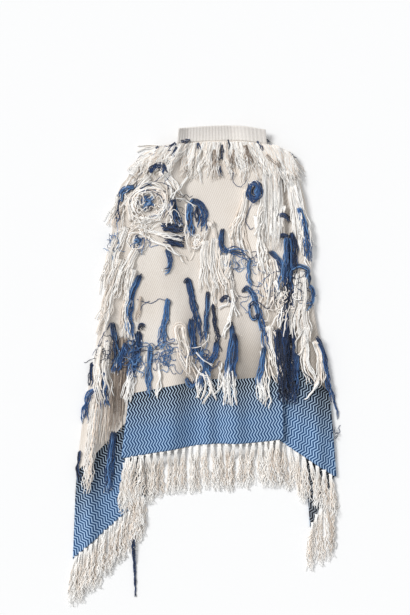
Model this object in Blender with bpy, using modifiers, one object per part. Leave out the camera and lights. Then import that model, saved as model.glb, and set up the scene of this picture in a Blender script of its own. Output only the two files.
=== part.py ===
"""A hand-woven shawl laid out on a flat surface with its back up.

The cloth is one sheet. Its back lies in the middle, a knife pleat on each side lets a wing fan
out, and the right wing is folded under so that the free front corner shows below it. A ribbed
band stands at the neck. Knotted fringe hangs from every hem, shorter fringe fans out from the
neck, and rows of yarn bundles, each on its own thin float, lie down the back.

Lengths in the tables are millimetres as the shawl lies: across is to the right of the middle of
the back, down is from the neck seam towards the hem, and height is above the surface.
"""

import math

import bpy
import bmesh
import numpy as np

MM = 0.001

# The part's origin, in the tables' across and down
ORIGIN_ACROSS = -8.0
ORIGIN_DOWN = 510.0

# The cloth
CLOTH_THICK = 2.5
LAYER_STEP = 6.0
FOLD_RADIUS = LAYER_STEP / 2
ROWS_DOWN = 18
FOLD_CELLS = 3
BORDER_DEPTH = 145.0
BACK_LENGTH = 690.0
BORDER_SHARE = 1 - BORDER_DEPTH / BACK_LENGTH

# Neighbouring pieces
SEAM_GAP = 0.3
REST_GAP = 0.5

# Warp threads as they lie, (across, down) at each station
STATION_SHARES = (0.0, 0.16, 0.45, 0.79, 1.0)
WARP_LINES = {
    # name             neck         shoulder     elbow        border       hem
    "left_selvage": ((-123, 20), (-188, 132), (-226, 356), (-285, 720), (-296, 936)),
    "left_inner": ((-78, 11), (-112, 132), (-132, 356), (-146, 643), (-134, 797)),
    "left_pleat": ((-101, 13), (-146, 132), (-170, 356), (-168, 553), (-186, 708)),
    "back_left": ((-52, 5), (-60, 132), (-78, 356), (-83, 544), (-94, 694)),
    "back_middle": ((11, 0), (11, 132), (5, 356), (2, 535), (0, 679)),
    "back_right": ((78, 0), (92, 132), (94, 356), (92, 531), (92, 676)),
    "right_pleat": ((161, 13), (175, 132), (177, 356), (173, 529), (175, 668)),
    "right_inner": ((141, 9), (150, 132), (146, 356), (141, 513), (134, 650)),
    "right_fold": ((190, 25), (222, 132), (240, 356), (280, 591), (293, 750)),
    "front_selvage": ((184, 25), (206, 132), (213, 356), (220, 640), (235, 865)),
}

# Spans of cloth between folds, from the left selvage to the free front edge
SPANS = {
    # name         warp lines it runs between                                              cells
    "left_wing": (("left_selvage", "left_inner"), 8),
    "left_return": (("left_inner", "left_pleat"), 3),
    "back": (("left_pleat", "back_left", "back_middle", "back_right", "right_pleat"), 22),
    "right_return": (("right_pleat", "right_inner"), 3),
    "right_wing": (("right_inner", "right_fold"), 9),
    "front_strip": (("right_fold", "front_selvage"), 4),
}
FOLD_RISES = (1, 1, -1, -1, -1)

# Soft falls: span, share across at neck and hem, height, half width as a share of the span, and
# the shares down at which the fall starts and is full
FALLS = (
    ("back", 0.32, 0.30, 17.0, 0.075, 0.18, 0.75),
    ("back", 0.47, 0.52, 9.0, 0.045, 0.45, 0.95),
    ("back", 0.62, 0.68, 19.0, 0.070, 0.22, 0.80),
    ("left_wing", 0.20, 0.24, 11.0, 0.110, 0.20, 0.70),
    ("right_wing", 0.80, 0.76, 9.0, 0.120, 0.25, 0.75),
)
TROUGH_SINK = 1.0
PLEAT_FLAT = 0.17
PLEAT_FOOT = 0.34
EDGE_SHARE = 0.03
ROW_BEFORE_EDGE = 0.97

# The ribbed neck band
BAND_FROM, BAND_TO = 0.20, 0.94
BAND_HEIGHT = 32.0
BAND_CURL = 9.0
BAND_RIBS = 27
BAND_RIB_RISE = 0.8
BAND_THICK = 2.2

# Hem fringe: name, span, first and last column, tassels, headings of the first and last tassel,
# and the first and last one's length as shares of TASSEL_LENGTH
HEM_GAP = 0.9
HEM_STRIP_DEPTH = 6.0
HEM_STRIP_TRIM = 3.0
HEM_FRINGES = (
    ("fringe_front_corner", "front_strip", 0, 4, 6, 2, -3, 1.5, 0.95),
    ("fringe_right_wing", "right_wing", 0, 9, 10, 0, 5, 1.0, 1.0),
    ("fringe_left_wing", "left_wing", 0, 8, 14, -9, 0, 1.15, 1.0),
    ("fringe_left_return", "left_return", 0, 3, 5, 0, -3, 1.0, 1.0),
    ("fringe_right_return", "right_return", 0, 3, 2, 2, 0, 1.0, 1.0),
    ("fringe_back", "back", 0, 22, 23, -5, 2, 1.0, 1.0),
)
TASSEL_LENGTH = 104.0
TASSEL_WIDTH = 9.5
TASSEL_HEIGHT = 5.0
TASSEL_ROOT = 0.4
TASSEL_ROOT_HEIGHT = 0.6
TASSEL_SEGMENTS = 5
TASSEL_LENGTH_SPREAD = 0.06
TASSEL_HEADING_SPREAD = 1.3
TASSEL_WAVE = 6.0

# Spans of cloth that lie under a hem's fringe and are laid just before it
SPANS_UNDER = {
    "fringe_front_corner": (),
    "fringe_right_wing": ("front_strip",),
    "fringe_left_wing": (),
    "fringe_left_return": ("left_wing",),
    "fringe_right_return": ("right_wing",),
    "fringe_back": ("left_return", "right_return"),
}

# Neck fringe
NECK_PATH = ((-119, 27), (-97, 20), (-52, 12), (11, 7), (78, 7), (138, 14), (160, 19), (184, 31))
NECK_LOCKS = 36
NECK_LENGTH = 84.0
NECK_WIDTH = 6.0
NECK_ASPECT = 0.7
NECK_SPREAD = 52.0
NECK_MIDDLE = 30.0
NECK_REACH = 150.0
NECK_END_SHARE = 0.72
NECK_SEGMENTS = 4
NECK_PATH_SAMPLES = 60
NECK_STRIP_STEP = 16.0
NECK_STRIP_WIDTH = 7.0
NECK_STRIP_HEIGHT = 2.6
NECK_MARGIN = 0.015
NECK_LENGTH_SPREAD = 0.14
NECK_HEADING_SPREAD = 3.0
NECK_WAVE = 6.0
NECK_TURN_BACK = 0.25

# Yarn bundles, row by row from the hem up. Each bundle: across and down of its head, length,
# heading in degrees (0 hangs straight down, positive swings right), curl in degrees over its
# length (positive turns it to the right), width of one lock, number of locks.
BUNDLE_ROWS = (
    ("bundle_ecru_side", "ecru_yarn", (
        (-256, 560, 240, -1, 3, 16, 1),
    )),
    ("bundle_blue_side", "blue_yarn", (
        (-208, 640, 128, 4, -4, 9, 2),
    )),
    ("bundles_blue_low", "blue_yarn", (
        (-232, 458, 112, -10, 8, 9, 2),
        (-132, 450, 130, 6, -10, 9, 2),
        (-22, 446, 140, 4, 6, 10, 2),
        (58, 452, 150, -4, 8, 10, 2),
        (150, 444, 150, 4, -6, 9, 2),
        (250, 420, 250, 7, 3, 9, 1),
    )),
    ("bundles_ecru_low", "ecru_yarn", (
        (-196, 424, 140, -2, 6, 10, 2),
        (-62, 416, 120, 10, 16, 10, 2),
        (112, 420, 160, 4, -4, 11, 3),
        (216, 424, 150, 8, 2, 10, 2),
    )),
    ("bundles_blue_middle", "blue_yarn", (
        (-208, 350, 130, -8, 6, 9, 2),
        (-140, 326, 150, -12, 20, 9, 2),
        (-82, 344, 130, -2, -6, 10, 2),
        (-38, 330, 150, 8, -8, 10, 1),
        (8, 336, 140, -4, 6, 9, 2),
        (46, 346, 120, 4, -8, 9, 1),
        (102, 334, 165, 18, -34, 9, 2),
        (178, 338, 180, 6, -6, 10, 2),
        (236, 324, 70, 8, 6, 9, 1),
    )),
    ("bundles_ecru_middle", "ecru_yarn", (
        (-222, 296, 150, -3, 4, 10, 2),
        (-188, 288, 140, 0, 4, 10, 2),
        (-34, 282, 95, 14, -24, 9, 1),
        (66, 286, 135, 2, 6, 10, 3),
        (146, 290, 130, 6, -4, 10, 2),
        (208, 286, 150, 8, 6, 10, 2),
    )),
    ("bundles_blue_waist", "blue_yarn", (
        (-84, 236, 70, 12, -30, 9, 1),
        (38, 218, 90, -2, 40, 10, 1),
        (84, 226, 95, -6, 20, 8, 2),
        (146, 218, 130, 10, 4, 10, 2),
        (206, 204, 130, 16, -12, 9, 1),
    )),
    ("bundles_ecru_waist", "ecru_yarn", (
        (-200, 190, 120, -8, 8, 10, 2),
        (-160, 184, 110, 10, -50, 9, 2),
        (34, 176, 130, -6, 8, 11, 2),
        (94, 170, 130, 2, 10, 10, 2),
        (184, 162, 130, 10, -4, 10, 2),
    )),
    ("bundles_blue_yoke", "blue_yarn", (
        (-152, 128, 96, 96, -220, 8, 1),
        (-118, 138, 80, -60, 180, 8, 1),
        (-26, 130, 100, -8, 14, 10, 2),
        (108, 112, 100, 60, -230, 8, 1),
    )),
    ("bundles_ecru_yoke", "ecru_yarn", (
        (-164, 106, 96, -34, 46, 9, 2),
        (-132, 98, 150, 92, -180, 9, 2),
        (-62, 104, 100, 4, -10, 9, 2),
        (72, 98, 84, 0, 8, 9, 1),
        (158, 92, 110, 24, -14, 9, 2),
    )),
)
FLOAT_WIDTH = 4.0
FLOAT_HEIGHT = 2.2
FLOAT_STEP = 24.0
FLOAT_OVERHANG = 8.0
BUNDLE_STEP = 27.0
BUNDLE_CROWN = 0.56
LOCK_FAN = 9.0
LOCK_ASPECT = 0.55
LOCK_PITCH = 0.9
LOCK_SHORTER = 0.09
LOCK_LENGTH_SPREAD = 0.05
LOCK_WAVE = 8.0
LOCK_ROOT_WIDTH = 0.8
LOCK_HUMP = 1.2
MOST_TURN = 32.0
CURLED = 90.0
SWAY_TURNS = 1.1
PATH_SAMPLES = 8
TIP_SHARE = 0.5
ROOT_SINK = 0.6
STEEPEST_ROOT = 4.0

# Height field that tells what each yarn comes to rest on
FIELD_CELL = 3.0
FIELD_MARGIN = 1.0
FIELD_ACROSS = (-360.0, 360.0)
FIELD_DOWN = (-60.0, 1100.0)
CLOTH_SAMPLES = 260
LOCK_SAMPLE = 3.0

COLOURS = {
    # name            red   green  blue  roughness
    "ecru_cloth": (0.74, 0.68, 0.61, 0.9),
    "blue_border": (0.12, 0.21, 0.38, 0.9),
    "ecru_rib": (0.77, 0.72, 0.65, 0.9),
    "ecru_yarn": (0.80, 0.75, 0.67, 0.85),
    "blue_yarn": (0.04, 0.11, 0.29, 0.85),
}


def vary(index, channel):
    """A repeatable spread between -1 and 1 for the index-th of many like things."""
    return 2 * ((index * 0.618034 + channel * 0.414214 + 0.37) % 1) - 1


def smooth_step(low, high, value):
    """0 below low, 1 above high, with an S-shaped rise between."""
    share = np.clip((value - low) / (high - low), 0, 1)
    return share * share * (3 - 2 * share)


def spline(knots, values, places):
    """A smooth curve through values at knots, read at places, from cubic Hermite pieces."""
    knots = np.asarray(knots, float)
    values = np.asarray(values, float)
    places = np.asarray(places, float)
    slopes = np.gradient(values, knots, axis=0)
    piece = np.clip(np.searchsorted(knots, places, side="right") - 1, 0, len(knots) - 2)
    width = knots[piece + 1] - knots[piece]
    shape = (-1,) + (1,) * (values.ndim - 1)
    s = ((places - knots[piece]) / width).reshape(shape)
    width = width.reshape(shape)
    return (
        (2 * s**3 - 3 * s**2 + 1) * values[piece]
        + (s**3 - 2 * s**2 + s) * width * slopes[piece]
        + (3 * s**2 - 2 * s**3) * values[piece + 1]
        + (s**3 - s**2) * width * slopes[piece + 1]
    )


def warp_line(name, down_shares):
    """Across and down of one warp thread at each share of the way to the hem."""
    return spline(STATION_SHARES, WARP_LINES[name], down_shares)


def unit(vectors):
    """The vectors at length 1."""
    return vectors / np.linalg.norm(vectors, axis=-1, keepdims=True)


def fold_centre(before, fold, after, down_shares):
    """The middle of a rounded fold, and the direction in which the fold faces."""
    edge = warp_line(fold, down_shares)
    facing = unit(
        unit(edge - warp_line(before, down_shares)) + unit(edge - warp_line(after, down_shares))
    )
    return edge - FOLD_RADIUS * facing, facing


def span_edge(span, end, down_shares):
    """Plan of a span's first (end 0) or last (end -1) warp line: a free edge, or a fold's middle."""
    names = list(SPANS)
    place = names.index(span)
    neighbour = place - 1 if end == 0 else place + 1
    lines = SPANS[span][0]
    if not 0 <= neighbour < len(names):
        return warp_line(lines[end], down_shares)
    own_side = lines[1] if end == 0 else lines[-2]
    other = SPANS[names[neighbour]][0]
    other_side = other[-2] if end == 0 else other[1]
    return fold_centre(own_side, lines[end], other_side, down_shares)[0]


def span_height(span, across_shares, down_shares):
    """Height of the cloth's middle surface on a span, for every share across and down."""
    u = across_shares[:, None]
    t = down_shares[None, :]
    if span in ("left_wing", "front_strip"):
        lift = np.zeros((len(across_shares), len(down_shares)))
    elif span in ("left_return", "right_return"):
        lift = np.full((len(across_shares), len(down_shares)), LAYER_STEP)
    elif span == "right_wing":
        lift = LAYER_STEP * smooth_step(0.44 - 0.08 * t, 0.78 - 0.30 * t, u)
    else:
        from_side = np.minimum(u, 1 - u) + 0 * t
        lift = 2 * LAYER_STEP * (1 - smooth_step(PLEAT_FLAT, PLEAT_FOOT, from_side))
    sink = TROUGH_SINK if span == "back" else 0.0
    for name, at_neck, at_hem, rise, half_width, start, full in FALLS:
        if name == span:
            middle = at_neck + (at_hem - at_neck) * t
            profile = np.exp(-(((u - middle) / half_width) ** 2))
            lift = lift + rise * smooth_step(start, full, t) * profile
    shallow = smooth_step(0.0, EDGE_SHARE, np.minimum(u, 1 - u))
    return CLOTH_THICK / 2 + np.maximum(0.0, lift - sink * shallow)


def span_points(span, across_shares, down_shares):
    """Points (across share, down share, xyz) of the cloth's middle surface on one span."""
    lines = SPANS[span][0]
    edges = [span_edge(span, 0, down_shares)]
    edges += [warp_line(line, down_shares) for line in lines[1:-1]]
    edges += [span_edge(span, -1, down_shares)]
    plan = spline(np.linspace(0, 1, len(lines)), np.array(edges), across_shares)
    height = span_height(span, across_shares, down_shares)
    return np.concatenate([plan, height[:, :, None]], axis=2)


def fold_points(index, down_shares, cells):
    """Points between two spans, round the fold, from one layer's level to the next."""
    names = list(SPANS)
    before = SPANS[names[index]][0]
    after = SPANS[names[index + 1]][0]
    centre, facing = fold_centre(before[-2], before[-1], after[1], down_shares)
    start = span_points(names[index], np.array([1.0]), down_shares)[0, :, 2]
    rise = FOLD_RISES[index]
    rows = []
    for step in range(1, cells):
        angle = math.pi * step / cells
        plan = centre + FOLD_RADIUS * math.sin(angle) * facing
        height = start + rise * FOLD_RADIUS * (1 - math.cos(angle))
        rows.append(np.concatenate([plan, height[:, None]], axis=1))
    return np.array(rows)


def cloth_points():
    """The whole cloth's middle surface, from the left selvage to the free front edge."""
    down_shares = np.linspace(0, 1, ROWS_DOWN + 1)
    pieces = []
    for index, span in enumerate(SPANS):
        pieces.append(span_points(span, np.linspace(0, 1, SPANS[span][1] + 1), down_shares))
        if index < len(FOLD_RISES):
            pieces.append(fold_points(index, down_shares, FOLD_CELLS))
    return np.concatenate(pieces)


class Field:
    """The height of whatever lies highest, on a grid over the surface."""

    def __init__(self):
        across = int((FIELD_ACROSS[1] - FIELD_ACROSS[0]) / FIELD_CELL)
        down = int((FIELD_DOWN[1] - FIELD_DOWN[0]) / FIELD_CELL)
        self.height = np.zeros((across, down))

    def cells(self, plan, radius):
        """Indices of the cells within radius of each plan point, as two arrays."""
        reach = int(math.ceil(radius / FIELD_CELL))
        steps = np.arange(-reach, reach + 1)
        widest = radius + FIELD_MARGIN
        near = np.array(
            [(i, j) for i in steps for j in steps if math.hypot(i, j) * FIELD_CELL <= widest]
        )
        across = ((plan[:, 0] - FIELD_ACROSS[0]) / FIELD_CELL).astype(int)[:, None] + near[:, 0]
        down = ((plan[:, 1] - FIELD_DOWN[0]) / FIELD_CELL).astype(int)[:, None] + near[:, 1]
        return (
            np.clip(across, 0, self.height.shape[0] - 1),
            np.clip(down, 0, self.height.shape[1] - 1),
        )

    def add(self, plan, tops, radius):
        """Raises the cells round each plan point to its top."""
        across, down = self.cells(plan, radius)
        np.maximum.at(self.height, (across, down), np.broadcast_to(tops[:, None], across.shape))

    def add_span(self, span):
        """Raises the cells under one span of the cloth."""
        shares = np.linspace(0, 1, CLOTH_SAMPLES)
        points = span_points(span, shares, shares).reshape(-1, 3)
        self.add(points[:, :2], points[:, 2] + CLOTH_THICK / 2, FIELD_CELL)

    def under(self, plan, radius):
        """The highest thing within radius of each plan point."""
        across, down = self.cells(plan, radius)
        return self.height[across, down].max(axis=1)


def resample(plan, step):
    """The plan path with its points about step apart, as many as the length needs."""
    lengths = np.linalg.norm(np.diff(plan, axis=0), axis=1)
    along = np.concatenate([[0], np.cumsum(lengths)])
    count = max(2, int(round(along[-1] / step)) + 1)
    places = np.linspace(0, along[-1], count)
    return np.stack([np.interp(places, along, plan[:, axis]) for axis in (0, 1)], axis=1)


def settle(plan, field, half_width):
    """Height of a path's underside so that each straight stretch clears what lies beneath it."""
    stretches = []
    for start, end in zip(plan[:-1], plan[1:]):
        count = max(2, int(np.linalg.norm(end - start) / LOCK_SAMPLE) + 1)
        dots = start + (end - start) * np.linspace(0, 1, count)[:, None]
        highest = field.under(dots, half_width + FIELD_CELL / 2).max()
        stretches.append(highest + REST_GAP if highest > 0 else 0.0)
    return np.maximum(np.array(stretches[:1] + stretches), np.array(stretches + stretches[-1:]))


def lay_on_field(field, plan, base, width, height):
    """Marks a laid strand in the field."""
    for index in range(len(plan) - 1):
        count = max(2, int(np.linalg.norm(plan[index + 1] - plan[index]) / LOCK_SAMPLE) + 1)
        share = np.linspace(0, 1, count)[:, None]
        dots = plan[index] + (plan[index + 1] - plan[index]) * share
        top = max(base[index], base[index + 1]) + height
        field.add(dots, np.full(count, top), width / 2 + FIELD_CELL / 2)


def hanging_path(root, length, heading, curl, wave, segments):
    """A strand's plan from its root: it sets off at heading, turns by curl, and sways by wave."""
    share = np.linspace(0, 1, segments + 1)
    fine = np.linspace(0, 1, segments * PATH_SAMPLES + 1)
    sway = wave * np.sin(SWAY_TURNS * 2 * math.pi * fine)
    angle = np.radians(heading + curl * fine + sway)
    step = length / (len(fine) - 1)
    across = root[0] + np.concatenate([[0], np.cumsum(np.sin(angle[:-1]) * step)])
    down = root[1] + np.concatenate([[0], np.cumsum(np.cos(angle[:-1]) * step)])
    return np.stack([np.interp(share, fine, across), np.interp(share, fine, down)], axis=1)


def to_part_frame(points):
    """Table millimetres (across, down, height) as metres in the part's frame."""
    points = np.asarray(points, float)
    return np.stack(
        [
            (points[..., 0] - ORIGIN_ACROSS) * MM,
            (ORIGIN_DOWN - points[..., 1]) * MM,
            points[..., 2] * MM,
        ],
        axis=-1,
    )


def make_material(name):
    """A matt fibre finish."""
    red, green, blue, roughness = COLOURS[name]
    material = bpy.data.materials.new(name)
    material.use_nodes = True
    shader = material.node_tree.nodes["Principled BSDF"]
    shader.inputs["Base Color"].default_value = (red, green, blue, 1)
    shader.inputs["Roughness"].default_value = roughness
    shader.inputs["Metallic"].default_value = 0.0
    return material


def new_object(name, mesh, collection, parent, materials):
    """An object at the middle of its mesh's points."""
    points = np.array([vertex.co for vertex in mesh.vertices])
    middle = points.mean(axis=0)
    for vertex, point in zip(mesh.vertices, points):
        vertex.co = point - middle
    piece = bpy.data.objects.new(name, mesh)
    piece.location = middle
    piece.parent = parent
    for material in materials:
        mesh.materials.append(material)
    collection.objects.link(piece)
    return piece


def sheet_mesh(name, points):
    """An open sheet through a grid of points (across, down, xyz), its upper side facing up."""
    columns, rows = points.shape[:2]
    shape = bmesh.new()
    bmesh.ops.create_grid(shape, x_segments=columns - 1, y_segments=rows - 1, size=1)
    shape.verts.ensure_lookup_table()
    placed = to_part_frame(points)
    for vertex in shape.verts:
        column = round((vertex.co.x + 1) / 2 * (columns - 1))
        row = round((1 - vertex.co.y) / 2 * (rows - 1))
        vertex.co = placed[column, row]
    mesh = bpy.data.meshes.new(name)
    shape.to_mesh(mesh)
    shape.free()
    mesh.shade_smooth()
    return mesh


def thicken(piece, thickness):
    """Gives an open sheet its thickness, half to each side."""
    solid = piece.modifiers.new("thickness", "SOLIDIFY")
    solid.thickness = thickness * MM
    solid.offset = 0.0
    return solid


def strand_mesh(name, plan, base, widths, heights, crown):
    """A closed strand: a flat underside, sloping flanks and a top of crown times the width."""
    along = np.gradient(plan, axis=0)
    aside = unit(np.stack([-along[:, 1], along[:, 0]], axis=1))
    shape = bmesh.new()
    rings = []
    for point, side, low, width, height in zip(plan, aside, base, widths, heights):
        top = ((0.0, height),)
        if crown:
            top = ((0.5 * crown * width, height), (-0.5 * crown * width, height))
        corners = ((-0.5 * width, 0.0), (0.5 * width, 0.0), *top)
        ring = [
            shape.verts.new(to_part_frame((*(point + side * offset), low + rise)))
            for offset, rise in corners
        ]
        rings.append(ring)
    for first, second in zip(rings[:-1], rings[1:]):
        for corner in range(len(first)):
            following = (corner + 1) % len(first)
            shape.faces.new((first[corner], first[following], second[following], second[corner]))
    shape.faces.new(rings[0][::-1])
    shape.faces.new(rings[-1])
    bmesh.ops.recalc_face_normals(shape, faces=shape.faces)
    mesh = bpy.data.meshes.new(name)
    shape.to_mesh(mesh)
    shape.free()
    return mesh


def fuse(piece, strands):
    """Unites a piece with its strands and drops the loose copies."""
    guides = bpy.data.collections.new(f"{piece.name}_strands")
    bpy.context.scene.collection.children.link(guides)
    for number, mesh in enumerate(strands):
        strand = bpy.data.objects.new(f"{piece.name}_strand_{number}", mesh)
        strand.display_type = "WIRE"
        strand.hide_render = True
        guides.objects.link(strand)
    bpy.context.view_layer.update()
    union = piece.modifiers.new("strands", "BOOLEAN")
    union.operation = "UNION"
    union.operand_type = "COLLECTION"
    union.collection = guides
    union.solver = "EXACT"
    depsgraph = bpy.context.evaluated_depsgraph_get()
    fused = bpy.data.meshes.new_from_object(piece.evaluated_get(depsgraph))
    piece.modifiers.clear()
    piece.data = fused
    for strand in list(guides.objects):
        bpy.data.objects.remove(strand)
    bpy.data.collections.remove(guides)


def hem_strip_points(span, first, last):
    """A narrow strip just beyond a span's hem, on the cloth's own level, between two columns."""
    ends = span_points(span, np.array([0.0, 1.0]), np.array([1.0]))[:, 0, :2]
    trim = HEM_STRIP_TRIM / np.linalg.norm(ends[1] - ends[0])
    shares = np.clip(np.arange(first, last + 1) / SPANS[span][1], trim, 1 - trim)
    edge = span_points(span, shares, np.array([ROW_BEFORE_EDGE, 1.0]))
    along = np.gradient(edge[:, 1, :2], axis=0)
    aside = unit(np.stack([-along[:, 1], along[:, 0]], axis=1))
    onward = np.sum(aside * (edge[:, 1, :2] - edge[:, 0, :2]), axis=1, keepdims=True)
    aside = aside * np.sign(onward)
    rows = []
    for distance in (HEM_GAP, HEM_GAP + HEM_STRIP_DEPTH):
        rows.append(np.concatenate([edge[:, 1, :2] + aside * distance, edge[:, 1, 2:]], axis=1))
    return np.stack(rows, axis=1)


def hem_tassels(hem, field, seed):
    """Path, base, widths and heights of each tassel of one hem."""
    _, span, first, last, count, first_heading, last_heading, first_length, last_length = hem
    strip = hem_strip_points(span, first, last).mean(axis=1)
    places = np.linspace(0, 1, len(strip))
    margin = 0.5 / count
    tassels = []
    for number, share in enumerate(np.linspace(margin, 1 - margin, count)):
        middle = [np.interp(share, places, strip[:, axis]) for axis in (0, 1, 2)]
        stretch = first_length + (last_length - first_length) * share
        length = TASSEL_LENGTH * stretch * (1 + TASSEL_LENGTH_SPREAD * vary(number, seed))
        heading = first_heading + (last_heading - first_heading) * share
        heading += TASSEL_HEADING_SPREAD * vary(number, seed + 1)
        wave = TASSEL_WAVE * vary(number, seed + 2)
        plan = hanging_path(middle[:2], length, heading, 0, wave, TASSEL_SEGMENTS)
        base = settle(plan, field, TASSEL_WIDTH / 2)
        root = middle[2] - CLOTH_THICK / 2 + ROOT_SINK
        base[0] = root
        base[1] = max(base[1], root - TASSEL_HEIGHT)
        full = [1.0] * (TASSEL_SEGMENTS - 1)
        widths = TASSEL_WIDTH * np.array([TASSEL_ROOT, *full, TIP_SHARE])
        heights = TASSEL_HEIGHT * np.array([TASSEL_ROOT_HEIGHT, *full, TIP_SHARE])
        tassels.append((plan, base, widths, heights))
    return tassels


def mark_tassels(tassels, field):
    """Marks a hem's tassels in the field."""
    for plan, base, widths, heights in tassels:
        lay_on_field(field, plan, base, widths.max(), heights.max())


def carry(plan, base, root_across, low):
    """Raises a float beside one lock's root so that the lock can start at low; its base there."""
    place = np.interp(root_across, plan[:, 0], np.arange(len(plan)))
    for point in (math.floor(place), math.ceil(place)):
        base[point] = max(base[point], low - ROOT_SINK)


def bundle_paths(bundle, number, float_plan):
    """Where each lock of a bundle crosses the float, its path and its width."""
    across, _, length, heading, curl, width, count = bundle
    segments = max(4, round(length / BUNDLE_STEP), round(abs(curl) / MOST_TURN))
    paths = []
    for lock in range(count):
        place = lock - (count - 1) / 2
        own_heading = heading + LOCK_FAN * place
        shorter = LOCK_SHORTER * (lock % 2) - LOCK_LENGTH_SPREAD * vary(number, lock)
        crossing = across + place * width * LOCK_PITCH
        down = float(np.interp(crossing, float_plan[:, 0], float_plan[:, 1]))
        angle = math.radians(own_heading)
        root = np.array([crossing, down]) - FLOAT_WIDTH * np.array([math.sin(angle), math.cos(angle)])
        wave = LOCK_WAVE * vary(number, 3) if abs(curl) < CURLED else 0
        plan = hanging_path(root, length * (1 - shorter), own_heading, curl, wave, segments)
        paths.append((crossing, plan, width))
    return paths


def row_strands(bundles, row, field):
    """One row's float and locks, each bundle laid on what is there and marked in the field."""
    heads = np.array([bundle[:2] for bundle in bundles], float)
    overhang = np.array([FLOAT_OVERHANG, 0])
    ends = [heads[0] - overhang], [heads[-1] + overhang]
    float_plan = resample(np.concatenate([ends[0], heads, ends[1]]), FLOAT_STEP)
    float_base = settle(float_plan, field, FLOAT_WIDTH / 2)
    paths = []
    bases = []
    for number, bundle in enumerate(bundles):
        own_paths = bundle_paths(bundle, number + 7 * row, float_plan)
        own_bases = [rooted_base(*path, float_plan, float_base, field) for path in own_paths]
        for (_, plan, width), base in zip(own_paths, own_bases):
            lay_on_field(field, plan, base, width, LOCK_HUMP * width * LOCK_ASPECT)
        paths += own_paths
        bases += own_bases
    lay_on_field(field, float_plan, float_base, FLOAT_WIDTH, FLOAT_HEIGHT)
    locks = grown_locks(paths, bases, float_plan, float_base, LOCK_ASPECT)
    for plan, base, widths, heights in locks:
        lay_on_field(field, plan, base, widths.max(), heights.max())
    return float_plan, float_base, locks


def rooted_base(crossing, plan, width, strip_plan, strip_base, field):
    """Height of a lock's underside, with the strip it grows from lifted to its root."""
    base = settle(plan, field, width / 2)
    base[0] = max(base[0], base[1] - STEEPEST_ROOT)
    carry(strip_plan, strip_base, crossing, base[0])
    return base


def grown_locks(paths, bases, strip_plan, strip_base, aspect):
    """Path, base, widths and heights of locks, with each root set in its strip."""
    locks = []
    for (crossing, plan, width), base in zip(paths, bases):
        low = float(np.interp(crossing, strip_plan[:, 0], strip_base)) + ROOT_SINK
        base[0] = low
        base[1] = max(base[1], low)
        inner = len(plan) - 2
        widths = width * np.array([LOCK_ROOT_WIDTH] + [1.0] * inner + [TIP_SHARE])
        heights = width * aspect * np.array([1.0, LOCK_HUMP] + [1.0] * (inner - 1) + [TIP_SHARE])
        locks.append((plan, base, widths, heights))
    return locks


def neck_strands(field):
    """The neck strip's plan and base, and its locks."""
    knots = np.linspace(0, 1, len(NECK_PATH))
    smooth_path = spline(knots, NECK_PATH, np.linspace(0, 1, NECK_PATH_SAMPLES))
    strip_plan = resample(smooth_path, NECK_STRIP_STEP)
    strip_base = settle(strip_plan, field, NECK_STRIP_WIDTH / 2)
    along = np.linspace(0, 1, len(strip_plan))
    paths = []
    for number, share in enumerate(np.linspace(NECK_MARGIN, 1 - NECK_MARGIN, NECK_LOCKS)):
        root = np.array([np.interp(share, along, strip_plan[:, axis]) for axis in (0, 1)])
        heading = NECK_SPREAD * (root[0] - NECK_MIDDLE) / NECK_REACH
        heading += NECK_HEADING_SPREAD * vary(number, 1)
        shorter = 1 - (1 - NECK_END_SHARE) * abs(2 * share - 1) ** 3
        length = NECK_LENGTH * shorter * (1 + NECK_LENGTH_SPREAD * vary(number, 2))
        curl = -NECK_TURN_BACK * heading
        plan = hanging_path(root, length, heading, curl, NECK_WAVE * vary(number, 3), NECK_SEGMENTS)
        paths.append((root[0], plan, NECK_WIDTH))
    bases = [rooted_base(*path, strip_plan, strip_base, field) for path in paths]
    return strip_plan, strip_base, grown_locks(paths, bases, strip_plan, strip_base, NECK_ASPECT)


def build_cloth(collection, parent, materials):
    """The woven sheet with its pleats, wings and folded front corner."""
    mesh = sheet_mesh("cloth", cloth_points())
    colours = (materials["ecru_cloth"], materials["blue_border"])
    piece = new_object("cloth", mesh, collection, parent, colours)
    border_rows = ROWS_DOWN - round(ROWS_DOWN * BORDER_SHARE)
    row_length = len(mesh.vertices) // (ROWS_DOWN + 1)
    for polygon in mesh.polygons:
        rows_from_hem = min(index // row_length for index in polygon.vertices)
        polygon.material_index = 1 if rows_from_hem < border_rows else 0
    thicken(piece, CLOTH_THICK)
    return piece


def build_neck_band(collection, parent, materials):
    """The ribbed band that goes on from the neck edge and curls up a little."""
    columns = BAND_RIBS * 2 + 1
    shares = np.linspace(BAND_FROM, BAND_TO, columns)
    first = span_points("back", shares, np.array([0.0, 1 - ROW_BEFORE_EDGE]))
    onward = unit(first[:, 0, :2] - first[:, 1, :2])
    rib = BAND_RIB_RISE * np.where(np.arange(columns) % 2 == 0, 0.0, 1.0)
    rows = []
    for share in (1.0, 0.5, 0.0):
        distance = SEAM_GAP + BAND_HEIGHT * share
        plan = first[:, 0, :2] + onward * distance
        height = first[:, 0, 2] + rib + BAND_CURL * share**2
        rows.append(np.concatenate([plan, height[:, None]], axis=1))
    piece = new_object(
        "neck_band",
        sheet_mesh("neck_band", np.stack(rows, axis=1)),
        collection,
        parent,
        (materials["ecru_rib"],),
    )
    thicken(piece, BAND_THICK)
    return piece


def build_hem_fringe(name, strip, tassels, collection, parent, materials):
    """A strip along one hem with its tassels."""
    mesh = sheet_mesh(name, strip)
    piece = new_object(name, mesh, collection, parent, (materials["ecru_yarn"],))
    thicken(piece, CLOTH_THICK)
    fuse(piece, [strand_mesh(f"{name}_tassel", *tassel, 0.0) for tassel in tassels])
    return piece


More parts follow.
